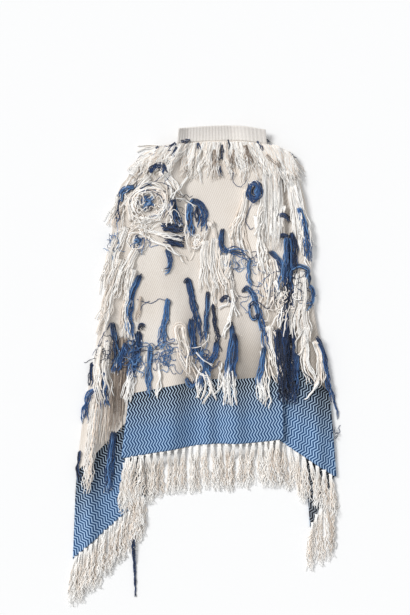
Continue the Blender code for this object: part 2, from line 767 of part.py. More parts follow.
def build_strip_with_locks(name, colour, plan, base, size, locks, crown, collection, parent, materials):
    """A laid strip with locks rooted on it."""
    width, height = size
    count = len(plan)
    mesh = strand_mesh(name, plan, base, np.full(count, width), np.full(count, height), BUNDLE_CROWN)
    piece = new_object(name, mesh, collection, parent, (materials[colour],))
    fuse(piece, [strand_mesh(f"{name}_lock", *lock, crown) for lock in locks])
    return piece


def main():
    """Builds every piece of the shawl."""
    for thing in list(bpy.data.objects):
        bpy.data.objects.remove(thing, do_unlink=True)
    collection = bpy.data.collections.new("shawl")
    bpy.context.scene.collection.children.link(collection)
    parent = bpy.data.objects.new("shawl_frame", None)
    collection.objects.link(parent)
    materials = {name: make_material(name) for name in COLOURS}

    build_cloth(collection, parent, materials)
    build_neck_band(collection, parent, materials)

    field = Field()
    for seed, hem in enumerate(HEM_FRINGES):
        name, span, first, last = hem[:4]
        for laid in SPANS_UNDER[name]:
            field.add_span(laid)
        tassels = hem_tassels(hem, field, seed)
        mark_tassels(tassels, field)
        strip = hem_strip_points(span, first, last)
        build_hem_fringe(name, strip, tassels, collection, parent, materials)
    field.add_span("back")

    for row, (name, colour, bundles) in enumerate(BUNDLE_ROWS):
        plan, base, locks = row_strands(bundles, row, field)
        size = (FLOAT_WIDTH, FLOAT_HEIGHT)
        build_strip_with_locks(
            name, colour, plan, base, size, locks, BUNDLE_CROWN, collection, parent, materials
        )

    plan, base, locks = neck_strands(field)
    size = (NECK_STRIP_WIDTH, NECK_STRIP_HEIGHT)
    build_strip_with_locks(
        "fringe_neck", "ecru_yarn", plan, base, size, locks, 0.0, collection, parent, materials
    )


main()
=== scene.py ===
"""A hand-woven shawl laid out with its back up: cloth, neck band, fringes and hanks of yarn.

Lengths are in millimetres as the shawl lies: across is to the right of the middle of the back,
down runs from the neck seam towards the hem, and height is above the surface. They become metres
in the model's frame only where a mesh is made. Hanks and threads are placed by marks, which are
pixels of the photograph and 2.24 mm apart.
"""

from __future__ import annotations

import logging
import math
from collections.abc import Sequence
from dataclasses import dataclass, field
from enum import Enum

import bpy
import numpy as np
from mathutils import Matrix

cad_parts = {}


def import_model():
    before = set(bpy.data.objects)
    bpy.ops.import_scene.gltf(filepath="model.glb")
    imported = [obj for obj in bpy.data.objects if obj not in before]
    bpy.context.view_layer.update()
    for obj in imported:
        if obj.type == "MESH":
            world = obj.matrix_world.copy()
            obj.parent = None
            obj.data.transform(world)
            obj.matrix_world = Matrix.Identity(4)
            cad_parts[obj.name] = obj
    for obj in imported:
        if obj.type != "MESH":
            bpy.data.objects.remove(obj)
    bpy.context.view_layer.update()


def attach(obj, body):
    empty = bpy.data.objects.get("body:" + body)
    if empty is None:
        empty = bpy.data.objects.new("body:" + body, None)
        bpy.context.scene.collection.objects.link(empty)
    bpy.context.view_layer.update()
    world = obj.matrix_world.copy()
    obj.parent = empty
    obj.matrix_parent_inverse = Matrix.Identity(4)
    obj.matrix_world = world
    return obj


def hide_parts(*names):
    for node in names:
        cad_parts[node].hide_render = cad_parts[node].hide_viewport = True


Array = np.ndarray
Colour = tuple[float, float, float]
Pair = tuple[float, float]
Mark = Pair
LOG = logging.getLogger("shawl")
MM = 0.001
METRE = 1000.0
FULL_TURN = 2 * math.pi

# Where the frame's origin lies on the shawl, and where the marks lie
ORIGIN_ACROSS = -8.0
ORIGIN_DOWN = 510.0
MARK_STEP = 2.24
NECK_MARK = (205, 141)
FRAME_MARKS = (410, 615)

# Colours as they look in daylight, sRGB from 0 to 1
ECRU = (0.96, 0.935, 0.905)
ECRU_WARM = (0.94, 0.885, 0.83)
ECRU_WHITE = (0.99, 0.985, 0.975)
FLAX = (0.82, 0.76, 0.70)
# TAN is the brown of the yarn laid as painted shade.
TAN = (0.57, 0.51, 0.46)
NAVY = (0.09, 0.14, 0.24)
INDIGO = (0.14, 0.26, 0.44)
BLUE = (0.21, 0.39, 0.61)
DENIM = (0.42, 0.59, 0.78)

# How every textile here takes the light, and the sockets of a Mix node on colours
SHEEN_ROUGHNESS = 0.5
SPECULAR = 0.25
MIX_INPUTS = (0, 6, 7)
MIX_RESULT = 2


def linear(colour: Colour) -> Array:
    """A daylight colour as the linear values that a shader takes.

    Args:
        colour: sRGB from 0 to 1.

    Returns:
        Three linear values: (c + 0.055) / 1.055 to the power 2.4 above the toe, c / 12.92 below.
    """
    value = np.asarray(colour, float)
    return np.where(value <= 0.04045, value / 12.92, ((value + 0.055) / 1.055) ** 2.4)


def unit(vectors: Array) -> Array:
    """The vectors at length 1."""
    return vectors / np.maximum(np.linalg.norm(vectors, axis=-1, keepdims=True), 1e-9)


def smooth_step(low: float | Array, high: float | Array, value: Array) -> Array:
    """0 below low and 1 above high, with 3 s squared minus 2 s cubed between."""
    share = np.clip((value - low) / (high - low), 0, 1)
    return share * share * (3 - 2 * share)


def neighbours(rows: Array) -> tuple[Array, Array, Array]:
    """For each value of each row, the one before it, itself and the one after it."""
    padded = np.pad(rows, ((0, 0), (1, 1)), mode="edge")
    return padded[:, :-2], padded[:, 1:-1], padded[:, 2:]


def spline(knots: Sequence[float] | Array, values: Array, places: Array) -> Array:
    """A smooth curve through values at knots: cubic Hermite pieces with finite-difference slopes.

    Args:
        knots: where each value holds, rising.
        values: one row per knot.
        places: where the curve is read.

    Returns:
        One row per place.
    """
    knots = np.asarray(knots, float)
    values = np.asarray(values, float)
    places = np.asarray(places, float)
    slopes = np.gradient(values, knots, axis=0)
    piece = np.clip(np.searchsorted(knots, places, side="right") - 1, 0, len(knots) - 2)
    width = knots[piece + 1] - knots[piece]
    shape = (-1,) + (1,) * (values.ndim - 1)
    s = ((places - knots[piece]) / width).reshape(shape)
    width = width.reshape(shape)
    return (
        (2 * s**3 - 3 * s**2 + 1) * values[piece]
        + (s**3 - 2 * s**2 + s) * width * slopes[piece]
        + (3 * s**2 - 2 * s**3) * values[piece + 1]
        + (s**3 - s**2) * width * slopes[piece + 1]
    )


def at_marks(marks: Sequence[Mark] | Array) -> Array:
    """Marks as across and down in millimetres."""
    return (np.asarray(marks, float) - NECK_MARK) * MARK_STEP


def plan_through(marks: Sequence[Mark], points: int) -> Array:
    """A smooth plan path through marks, with its points evenly apart along the chords."""
    corners = at_marks(marks)
    chords = np.linalg.norm(np.diff(corners, axis=0), axis=1)
    knots = np.concatenate([[0], np.cumsum(chords)])
    return spline(knots, corners, np.linspace(0, knots[-1], points))


def to_frame(points: Array) -> Array:
    """Millimetres (across, down, height) as metres in the model's frame."""
    points = np.asarray(points, float)
    return np.stack(
        [
            (points[..., 0] - ORIGIN_ACROSS) * MM,
            (ORIGIN_DOWN - points[..., 1]) * MM,
            points[..., 2] * MM,
        ],
        axis=-1,
    )


class Mesher:
    """Turns numpy arrays into Blender meshes."""

    @staticmethod
    def mesh(name: str, vertices: Array, faces: Sequence[Array]) -> bpy.types.Mesh:
        """A mesh from vertices and arrays of faces, each array with its own number of corners.

        Args:
            name: the mesh's name.
            vertices: (count, 3) in metres.
            faces: arrays of vertex indices, one row per face.

        Returns:
            The smooth-shaded mesh.
        """
        mesh = bpy.data.meshes.new(name)
        mesh.vertices.add(len(vertices))
        mesh.vertices.foreach_set("co", np.asarray(vertices, np.float32).ravel())
        corners = np.concatenate([part.ravel() for part in faces]).astype(np.int32)
        sizes = np.concatenate([np.full(len(part), part.shape[1]) for part in faces])
        starts = np.concatenate([[0], np.cumsum(sizes)[:-1]]).astype(np.int32)
        mesh.loops.add(len(corners))
        mesh.loops.foreach_set("vertex_index", corners)
        mesh.polygons.add(len(sizes))
        mesh.polygons.foreach_set("loop_start", starts)
        mesh.update(calc_edges=True)
        mesh.shade_smooth()
        return mesh

    @staticmethod
    def grid_faces(columns: int, rows: int) -> Array:
        """Four-cornered faces of a grid whose vertices run row by row inside each column."""
        column, row = np.meshgrid(np.arange(columns - 1), np.arange(rows - 1), indexing="ij")
        first = (column * rows + row).ravel()
        return np.stack([first, first + 1, first + rows + 1, first + rows], axis=1)

    @staticmethod
    def colours(mesh: bpy.types.Mesh, name: str, values: Array) -> None:
        """Stores one linear colour per vertex under name."""
        opaque = np.hstack([values, np.ones((len(values), 1))]).astype(np.float32)
        mesh.attributes.new(name, "FLOAT_COLOR", "POINT").data.foreach_set("color", opaque.ravel())

    @staticmethod
    def vectors(mesh: bpy.types.Mesh, name: str, values: Array) -> None:
        """Stores one vector per vertex under name."""
        layer = mesh.attributes.new(name, "FLOAT_VECTOR", "POINT")
        layer.data.foreach_set("vector", values.astype(np.float32).ravel())

    @staticmethod
    def uv(mesh: bpy.types.Mesh, name: str, places: Array) -> None:
        """Gives each face corner the UV place of its vertex."""
        corners = np.empty(len(mesh.loops), np.int32)
        mesh.loops.foreach_get("vertex_index", corners)
        layer = mesh.uv_layers.new(name=name)
        layer.data.foreach_set("uv", places[corners].astype(np.float32).ravel())

    @staticmethod
    def piece(mesh: bpy.types.Mesh, materials: Sequence[bpy.types.Material]) -> bpy.types.Object:
        """An object at the origin that shows the mesh in its materials."""
        for material in materials:
            mesh.materials.append(material)
        made = bpy.data.objects.new(mesh.name, mesh)
        bpy.context.scene.collection.objects.link(made)
        return made

    @staticmethod
    def thicken(piece: bpy.types.Object, thickness: float) -> bpy.types.Modifier:
        """Gives a sheet its thickness in millimetres, half to each side."""
        solid = piece.modifiers.new("thickness", "SOLIDIFY")
        solid.thickness = thickness * MM
        solid.offset = 0.0
        return solid


def tubes(paths: Array, radii: Array, sides: int) -> tuple[Array, list[Array]]:
    """Round tubes along many paths at once.

    Each point p of a path gets the ring p + r (cos a * aside + sin a * rise), where aside is the
    path's direction crossed with up, and rise is square to both.

    Args:
        paths: (yarns, points, 3) in metres.
        radii: (yarns, points) in metres.
        sides: corners of a ring.

    Returns:
        Vertices, and the faces of the walls and of both ends.
    """
    yarns, points = radii.shape
    along = unit(np.gradient(paths, axis=1))
    aside = unit(np.cross(along, (0.0, 0.0, 1.0)))
    rise = np.cross(aside, along)
    angle = FULL_TURN * np.arange(sides) / sides
    ring = aside[:, :, None] * np.cos(angle)[:, None] + rise[:, :, None] * np.sin(angle)[:, None]
    vertices = paths[:, :, None] + radii[:, :, None, None] * ring
    index = np.arange(yarns * points * sides).reshape(yarns, points, sides)
    after = np.roll(index, -1, axis=2)
    walls = [index[:, :-1], index[:, 1:], after[:, 1:], after[:, :-1]]
    walls = np.stack(walls, axis=-1).reshape(-1, 4)
    return vertices.reshape(-1, 3), [walls, index[:, 0], index[:, -1, ::-1]]


class Value:
    """A number that varies over a surface: ordinary arithmetic on it adds Math nodes."""

    def __init__(self, graph: Graph, socket: bpy.types.NodeSocket) -> None:
        self.graph = graph
        self.socket = socket

    def __add__(self, other: Value | float) -> Value:
        """The sum."""
        return self.graph.math("ADD", self, other)

    def __sub__(self, other: Value | float) -> Value:
        """The difference."""
        return self.graph.math("SUBTRACT", self, other)

    def __rsub__(self, other: float) -> Value:
        """The difference from a plain number."""
        return self.graph.math("SUBTRACT", other, self)

    def __mul__(self, other: Value | float) -> Value:
        """The product."""
        return self.graph.math("MULTIPLY", self, other)

    def __truediv__(self, other: Value | float) -> Value:
        """The quotient."""
        return self.graph.math("DIVIDE", self, other)

    __radd__ = __add__
    __rmul__ = __mul__

    def wave(self) -> Value:
        """A sine wave between 0 and 1 with a period of 1."""
        return self.graph.math("SINE", self * FULL_TURN) * 0.5 + 0.5

    def zigzag(self) -> Value:
        """A triangle wave between -1 and 1 with a period of 1: 4 |fraction - 1/2| - 1."""
        return self.graph.math("ABSOLUTE", self.graph.math("FRACT", self) - 0.5) * 4 - 1

    def ramp(self, low: float, high: float) -> Value:
        """0 below low and 1 above high, straight between."""
        return self.graph.clamped((self - low) / (high - low))

    def below(self, limit: float) -> Value:
        """1 where the value is under the limit, and 0 elsewhere."""
        return self.graph.math("LESS_THAN", self, limit)


class Graph:
    """One material's nodes, and the ways this scene adds to them."""

    def __init__(self, name: str) -> None:
        self.material = bpy.data.materials.new(name)
        self.material.use_nodes = True
        self.tree = self.material.node_tree
        self.shader = self.tree.nodes["Principled BSDF"]

    def node(
        self, kind: str, settings: dict | None = None, sockets: dict | None = None
    ) -> bpy.types.Node:
        """Adds a node of a type.

        Args:
            kind: the node's type.
            settings: what is set on the node first.
            sockets: a number, colour, Value or socket for each input, by name or place.

        Returns:
            The node.
        """
        made = self.tree.nodes.new(kind)
        for key, setting in (settings or {}).items():
            setattr(made, key, setting)
        for key, given in (sockets or {}).items():
            self.feed(made.inputs[key], given)
        return made

    def feed(self, socket: bpy.types.NodeSocket, given: object) -> None:
        """Links a value or a socket to an input, or sets a plain number or colour on it."""
        if isinstance(given, Value):
            given = given.socket
        if isinstance(given, bpy.types.NodeSocket):
            self.tree.links.new(given, socket)
        else:
            socket.default_value = given

    def math(self, operation: str, *terms: Value | float) -> Value:
        """A Math node's result."""
        made = self.node("ShaderNodeMath", {"operation": operation}, dict(enumerate(terms)))
        return Value(self, made.outputs[0])

    def clamped(self, value: Value) -> Value:
        """The value held between 0 and 1."""
        return Value(self, self.node("ShaderNodeClamp", {}, {"Value": value}).outputs[0])

    def weave_place(self, name: str) -> tuple[Value, Value]:
        """Millimetres along both axes of the UV map called name."""
        place = self.node("ShaderNodeUVMap", {"uv_map": name})
        parts = self.node("ShaderNodeSeparateXYZ", {}, {0: place.outputs[0]})
        return Value(self, parts.outputs[0]) * METRE, Value(self, parts.outputs[1]) * METRE

    def vector_parts(self, name: str) -> tuple[Value, Value, Value]:
        """The three numbers of the vector attribute called name."""
        place = self.node("ShaderNodeAttribute", {"attribute_name": name})
        parts = self.node("ShaderNodeSeparateXYZ", {}, {0: place.outputs["Vector"]})
        return tuple(Value(self, output) for output in parts.outputs)

    def noise(self, scale: float, detail: float = 2.0) -> Value:
        """Cloudy variation between 0 and 1 on Object coordinates."""
        place = self.node("ShaderNodeTexCoord").outputs["Object"]
        sockets = {"Vector": place, "Scale": scale, "Detail": detail}
        return Value(self, self.node("ShaderNodeTexNoise", {}, sockets).outputs[0])

    def blend(self, factor: Value | float, first: object, second: object) -> bpy.types.NodeSocket:
        """A colour between first at factor 0 and second at factor 1."""
        return self.colour_mix("MIX", factor, first, second)

    def darken(self, colour: object, factor: Value) -> bpy.types.NodeSocket:
        """A colour times a number, as a colour."""
        grey = self.node("ShaderNodeCombineColor", {}, {0: factor, 1: factor, 2: factor})
        return self.colour_mix("MULTIPLY", 1.0, colour, grey.outputs[0])

    def colour_mix(
        self, kind: str, factor: object, first: object, second: object
    ) -> bpy.types.NodeSocket:
        """A Mix node on colours; a daylight colour is given as three numbers."""
        made = self.node("ShaderNodeMix", {"data_type": "RGBA", "blend_type": kind})
        for place, given in zip(MIX_INPUTS, (factor, first, second)):
            if isinstance(given, tuple):
                given = (*linear(given), 1.0)
            self.feed(made.inputs[place], given)
        return made.outputs[MIX_RESULT]

    def finish(
        self, colour: object, roughness: float, relief: Value, depth: float, sheen: float
    ) -> bpy.types.Material:
        """Feeds the shader.

        Args:
            colour: the base colour's socket.
            roughness: the same all over.
            relief: height of the surface detail from 0 to 1.
            depth: what height 1 stands for, in metres.
            sheen: weight of the soft fibre sheen.

        Returns:
            The finished material.
        """
        sockets = {"Height": relief, "Strength": 1.0, "Distance": depth}
        bump = self.node("ShaderNodeBump", {}, sockets)
        given = {
            "Base Color": colour,
            "Roughness": roughness,
            "Normal": bump.outputs[0],
            "Sheen Weight": sheen,
            "Sheen Roughness": SHEEN_ROUGHNESS,
            "Specular IOR Level": SPECULAR,
        }
        for name, value in given.items():
            self.feed(self.shader.inputs[name], value)
        return self.material


@dataclass(frozen=True)
class WovenFinish:
    """Twill ground with a herringbone border along the hem, on the cloth's own UV maps.

    Steps, depths and sways are in millimetres, and relief_depth is in metres. The lines thin out
    towards the border's upper edge, and the ground has painted shade low down from the middle to
    the right. A wing's border has painted shade where its lines are thin. Tones and rises are
    weights in the colour and in the relief, and a mix pairs the weights of the clouds and of the
    thinning.
    """

    name: str
    ground: Colour
    ground_shade: Colour
    line: Colour
    line_shade: Colour
    base: Colour
    base_shade: Colour
    border_depth: float = 145.0
    line_step: float = 6.75
    line_level: float = 0.55
    line_edge: float = 0.16
    tooth_step: float = 17.8
    tooth_reach: float = 2.9
    thin_from: float = 0.35
    thin_most: float = 0.2
    wing_shade: float = 2.2
    twill_step: float = 5.0
    twill_lean: float = 0.45
    thread_step: float = 1.9
    wings_from: float = 205.0
    fine_sway: float = 2.2
    broad_sway: float = 4.0
    low_reach: float = 2.2
    low_across: Pair = (-60.0, 20.0)
    low_shade: float = 0.48
    relief_depth: float = 0.0007
    patch_shift: float = 1.6
    twill_tone: float = 0.42
    grain_tone: float = 0.6
    cloud_tone: float = 0.8
    low_tone: float = 0.3
    tone_drop: float = 0.40
    tooth_sway: float = 0.4
    line_sway: float = 0.5
    line_fill: float = 0.84
    line_grain: float = 0.3
    line_mix: Pair = (0.5, 3.0)
    base_mix: Pair = (0.4, 5.0)
    thread_light: float = 0.10
    gap_light: float = 0.93
    weft_rise: float = 0.3
    warp_rise: float = 0.2
    grain_rise: float = 0.2
    twill_rise: float = 0.35
    line_rise: float = 0.4
    roughness: float = 0.92
    sheen: float = 0.1

    def material(self) -> bpy.types.Material:
        """The woven material: threads, twill diagonals and zigzag lines from sums of waves."""
        graph = Graph(self.name)
        across, up = graph.weave_place("weave")
        cloudy = graph.noise(9.0, 3.0)
        patchy = graph.noise(46.0, 3.0)
        grainy = graph.noise(420.0)

        weft = (up / self.thread_step).wave()
        warp = (across / self.thread_step).wave()
        diagonal = across - up * self.twill_lean + patchy * self.patch_shift
        twill = (diagonal / self.twill_step).wave()
        # Painted shade: the ground darkens low down, from the middle to the right.
        low = 1 - up.ramp(self.border_depth, self.border_depth * self.low_reach)
        low = low * across.ramp(*self.low_across)
        tone = twill * self.twill_tone + grainy * self.grain_tone + cloudy * self.cloud_tone
        tone = tone - self.tone_drop - low * self.low_tone
        ground = graph.blend(graph.clamped(tone), self.ground_shade, self.ground)
        ground = graph.darken(ground, 1 - low * self.low_shade)

        wing = across.below(-self.wings_from) + (0 - across).below(-self.wings_from)
        sway = (patchy - 0.5) * self.fine_sway + (cloudy - 0.5) * self.broad_sway
        beside, beyond = graph.weave_place("teeth")
        teeth = ((beyond + sway * self.tooth_sway) / self.tooth_step).zigzag() * self.tooth_reach
        wave = ((beside + teeth + sway * self.line_sway) / self.line_step).wave()
        thin = up.ramp(self.border_depth * self.thin_from, self.border_depth) * self.thin_most
        line_mask = (wave - thin - self.line_level) / self.line_edge
        line_mask = line_mask * (1 - thin) * (self.line_fill + grainy * self.line_grain)
        mix = cloudy * self.line_mix[0] + thin * self.line_mix[1]
        line = graph.blend(graph.clamped(mix), self.line_shade, self.line)
        mix = patchy * self.base_mix[0] + thin * self.base_mix[1]
        base = graph.blend(graph.clamped(mix), self.base_shade, self.base)
        border = graph.blend(graph.clamped(line_mask), base, line)
        # Painted shade: a wing's border darkens where its lines thin out.
        border = graph.darken(border, 1 - wing * thin * self.wing_shade)

        in_border = up.below(self.border_depth)
        colour = graph.blend(in_border, ground, border)
        # Painted shade between the threads: darker where weft and warp dip.
        colour = graph.darken(colour, weft * warp * self.thread_light + self.gap_light)
        off_border = 1 - in_border
        relief = weft * self.weft_rise + warp * self.warp_rise + grainy * self.grain_rise
        relief = relief + twill * self.twill_rise * off_border + wave * self.line_rise * in_border
        return graph.finish(colour, self.roughness, relief, self.relief_depth, self.sheen)


@dataclass(frozen=True)
class YarnFinish:
    """Spun yarn in its own dye, with the twist of its plies and loose fibres."""

    name: str
    sheen: float
    ply_step: float = 0.0048
    fibre_scale: float = 900.0
    cloud_scale: float = 60.0
    relief_depth: float = 0.0004
    twist_light: float = 0.14
    fibre_light: float = 0.2
    cloud_light: float = 0.2
    groove_light: float = 0.80
    twist_rise: float = 0.6
    fibre_rise: float = 0.4
    roughness: float = 0.88

    def material(self) -> bpy.types.Material:
        """The yarn material: dye from the yarn's colour, darker in the grooves of its twist."""
        graph = Graph(self.name)
        along, around, _ = graph.vector_parts("yarn_place")
        dye = graph.node("ShaderNodeAttribute", {"attribute_name": "yarn_dye"}).outputs["Color"]
        twist = (along / self.ply_step + around * 2).wave()
        fibre = graph.noise(self.fibre_scale)
        cloudy = graph.noise(self.cloud_scale)
        # The twist's grooves get painted shade; fibres and clouds vary the yarn's own tone.
        light = twist * self.twist_light + fibre * self.fibre_light + cloudy * self.cloud_light
        colour = graph.darken(dye, light + self.groove_light)
        relief = twist * self.twist_rise + fibre * self.fibre_rise
        return graph.finish(colour, self.roughness, relief, self.relief_depth, self.sheen)


@dataclass(frozen=True)
class KnitFinish:
    """Fine rib knit."""

    name: str
    light: Colour
    shade: Colour
    stitch_step: float = 3.0
    grain_scale: float = 380.0
    relief_depth: float = 0.0006
    stitch_lean: float = 0.5
    stitch_tone: float = 0.4
    grain_tone: float = 0.6
    stitch_rise: float = 0.7
    grain_rise: float = 0.3
    roughness: float = 0.9
    sheen: float = 0.15

    def material(self) -> bpy.types.Material:
        """The knit material: rows of stitches along each rib."""
        graph = Graph(self.name)
        across, up = graph.weave_place("weave")
        lean = (across / self.stitch_step).zigzag() * self.stitch_lean
        stitch = (up / self.stitch_step + lean).wave()
        grainy = graph.noise(self.grain_scale)
        tone = stitch * self.stitch_tone + grainy * self.grain_tone
        colour = graph.blend(graph.clamped(tone), self.shade, self.light)
        relief = stitch * self.stitch_rise + grainy * self.grain_rise
        return graph.finish(colour, self.roughness, relief, self.relief_depth, self.sheen)


class Part(Enum):
    """The spans of the cloth between its folds, from the left selvage to the free front edge."""

    LEFT_WING = "left_wing"
    LEFT_RETURN = "left_return"
    BACK = "back"
    RIGHT_RETURN = "right_return"
    RIGHT_WING = "right_wing"
    FRONT_STRIP = "front_strip"


PARTS = list(Part)

# The warp threads that the folds and edges follow: across and down at each station
WARP_LINES: dict[str, Sequence[Pair]] = {
    "left_selvage": ((-123, 20), (-188, 132), (-226, 356), (-285, 720), (-296, 936)),
    "left_inner": ((-78, 11), (-112, 132), (-132, 356), (-146, 643), (-134, 797)),
    "left_pleat": ((-101, 13), (-146, 132), (-170, 356), (-168, 553), (-186, 708)),
    "back_left": ((-52, 5), (-60, 132), (-78, 356), (-83, 544), (-94, 694)),
    "back_middle": ((11, 0), (11, 132), (5, 356), (2, 535), (0, 679)),
    "back_right": ((78, 0), (92, 132), (94, 356), (92, 531), (92, 676)),
    "right_pleat": ((161, 13), (175, 132), (177, 356), (173, 529), (175, 668)),
    "right_inner": ((141, 9), (150, 132), (146, 356), (141, 513), (134, 650)),
    "right_fold": ((190, 25), (222, 132), (240, 356), (280, 591), (293, 750)),
    "front_selvage": ((184, 25), (206, 132), (213, 356), (220, 640), (235, 865)),
}

# The warp threads of each span, from its left edge to its right
SPANS: dict[Part, Sequence[str]] = {
    Part.LEFT_WING: ("left_selvage", "left_inner"),
    Part.LEFT_RETURN: ("left_inner", "left_pleat"),
    Part.BACK: ("left_pleat", "back_left", "back_middle", "back_right", "right_pleat"),
    Part.RIGHT_RETURN: ("right_pleat", "right_inner"),
    Part.RIGHT_WING: ("right_inner", "right_fold"),
    Part.FRONT_STRIP: ("right_fold", "front_selvage"),
}


@dataclass(frozen=True)
class Fall:
    """A soft fold that runs down the cloth.

    Its places and half width are shares of its span, and it starts and is full at shares of the
    way to the hem.
    """

    part: Part
    at_neck: float
    at_hem: float
    rise: float
    half_width: float
    start: float
    full: float


FALLS = (
    Fall(Part.BACK, 0.32, 0.30, 17.0, 0.075, 0.18, 0.75),
    Fall(Part.BACK, 0.47, 0.52, 9.0, 0.045, 0.45, 0.95),
    Fall(Part.BACK, 0.62, 0.68, 19.0, 0.070, 0.22, 0.80),
    Fall(Part.LEFT_WING, 0.20, 0.24, 11.0, 0.110, 0.20, 0.70),
    Fall(Part.RIGHT_WING, 0.80, 0.76, 9.0, 0.120, 0.25, 0.75),
)


@dataclass(frozen=True)
class ShawlLayout:
    """How the cloth lies: warp threads in plan, folds between spans, and height.

    Stations are shares of the way to the hem. The pleats and the rise of the right wing over the
    front corner start and end at shares of their span, and the rise shifts left towards the hem.
    """

    thick: float = 2.5
    layer_step: float = 6.0
    fold_radius: float = 3.0
    trough_sink: float = 1.0
    trough_edge: float = 0.03
    pleat_flat: float = 0.17
    pleat_foot: float = 0.34
    rise_start: float = 0.44
    rise_start_shift: float = 0.08
    rise_end: float = 0.78
    rise_end_shift: float = 0.30
    stations: tuple[float, ...] = (0.0, 0.16, 0.45, 0.79, 1.0)
    fold_rises: tuple[int, ...] = (1, 1, -1, -1, -1)

    def warp_line(self, name: str, down: Array) -> Array:
        """Across and down of one warp thread at each share of the way to the hem."""
        return spline(self.stations, WARP_LINES[name], down)

    def fold_centre(
        self, before: str, fold: str, after: str, down: Array
    ) -> tuple[Array, Array]:
        """The middle of a rounded fold, and the direction in which the fold faces."""
        edge = self.warp_line(fold, down)
        from_before = unit(edge - self.warp_line(before, down))
        from_after = unit(edge - self.warp_line(after, down))
        facing = unit(from_before + from_after)
        return edge - self.fold_radius * facing, facing

    def span_edge(self, part: Part, end: int, down: Array) -> Array:
        """Plan of a span's first or last warp line.

        Args:
            part: the span.
            end: 0 for the first or -1 for the last.
            down: shares of the way to the hem.

        Returns:
            A free edge as it is, or else the middle of the fold there.
        """
        place = PARTS.index(part)
        neighbour = place - 1 if end == 0 else place + 1
        lines = SPANS[part]
        if not 0 <= neighbour < len(PARTS):
            return self.warp_line(lines[end], down)
        other = SPANS[PARTS[neighbour]]
        own_side, other_side = (lines[1], other[-2]) if end == 0 else (lines[-2], other[1])
        return self.fold_centre(own_side, lines[end], other_side, down)[0]

    def height(self, part: Part, across: Array, down: Array) -> Array:
        """Height of the cloth's middle: its layer, its pleat's slope and its soft folds."""
        u = across[:, None]
        t = down[None, :]
        if part in (Part.LEFT_WING, Part.FRONT_STRIP):
            lift = 0 * u * t
        elif part in (Part.LEFT_RETURN, Part.RIGHT_RETURN):
            lift = self.layer_step + 0 * u * t
        elif part is Part.RIGHT_WING:
            start = self.rise_start - self.rise_start_shift * t
            end = self.rise_end - self.rise_end_shift * t
            lift = self.layer_step * smooth_step(start, end, u)
        else:
            from_side = np.minimum(u, 1 - u) + 0 * t
            slope = smooth_step(self.pleat_flat, self.pleat_foot, from_side)
            lift = 2 * self.layer_step * (1 - slope)
        for fall in FALLS:
            if fall.part is part:
                middle = fall.at_neck + (fall.at_hem - fall.at_neck) * t
                rise = fall.rise * smooth_step(fall.start, fall.full, t)
                lift = lift + rise * np.exp(-(((u - middle) / fall.half_width) ** 2))
        sink = self.trough_sink if part is Part.BACK else 0.0
        shallow = smooth_step(0.0, self.trough_edge, np.minimum(u, 1 - u))
        return self.thick / 2 + np.maximum(0.0, lift - sink * shallow)

    def points(self, part: Part, across: Array, down: Array) -> Array:
        """Points (across share, down share, xyz) of the cloth's middle on one span."""
        lines = SPANS[part]
        edges = [self.span_edge(part, 0, down)]
        edges += [self.warp_line(line, down) for line in lines[1:-1]]
        edges += [self.span_edge(part, -1, down)]
        plan = spline(np.linspace(0, 1, len(lines)), np.array(edges), across)
        return np.concatenate([plan, self.height(part, across, down)[:, :, None]], axis=2)

    def fold(self, index: int, down: Array, cells: int) -> Array:
        """Points round a fold: half a circle from one layer's level to the next."""
        before = SPANS[PARTS[index]]
        after = SPANS[PARTS[index + 1]]
        centre, facing = self.fold_centre(before[-2], before[-1], after[1], down)
        start = self.points(PARTS[index], np.array([1.0]), down)[0, :, 2]
        angle = (math.pi * np.arange(1, cells) / cells)[:, None]
        plan = centre[None] + self.fold_radius * np.sin(angle)[:, :, None] * facing[None]
        turn = self.fold_rises[index] * self.fold_radius * (1 - np.cos(angle))
        return np.concatenate([plan, (start[None] + turn)[:, :, None]], axis=2)

    def sheet(self, cell: float, rows: int, fold_cells: int) -> Array:
        """The whole middle surface as a grid of points, with cells about cell wide at the hem."""
        down = np.linspace(0, 1, rows + 1)
        strips = []
        for index, part in enumerate(PARTS):
            ends = self.points(part, np.array([0.0, 1.0]), np.array([1.0]))[:, 0, :2]
            cells = max(4, round(float(np.linalg.norm(ends[1] - ends[0])) / cell))
            strips.append(self.points(part, np.linspace(0, 1, cells + 1), down))
            if index < len(self.fold_rises):
                strips.append(self.fold(index, down, fold_cells))
        return np.concatenate(strips)


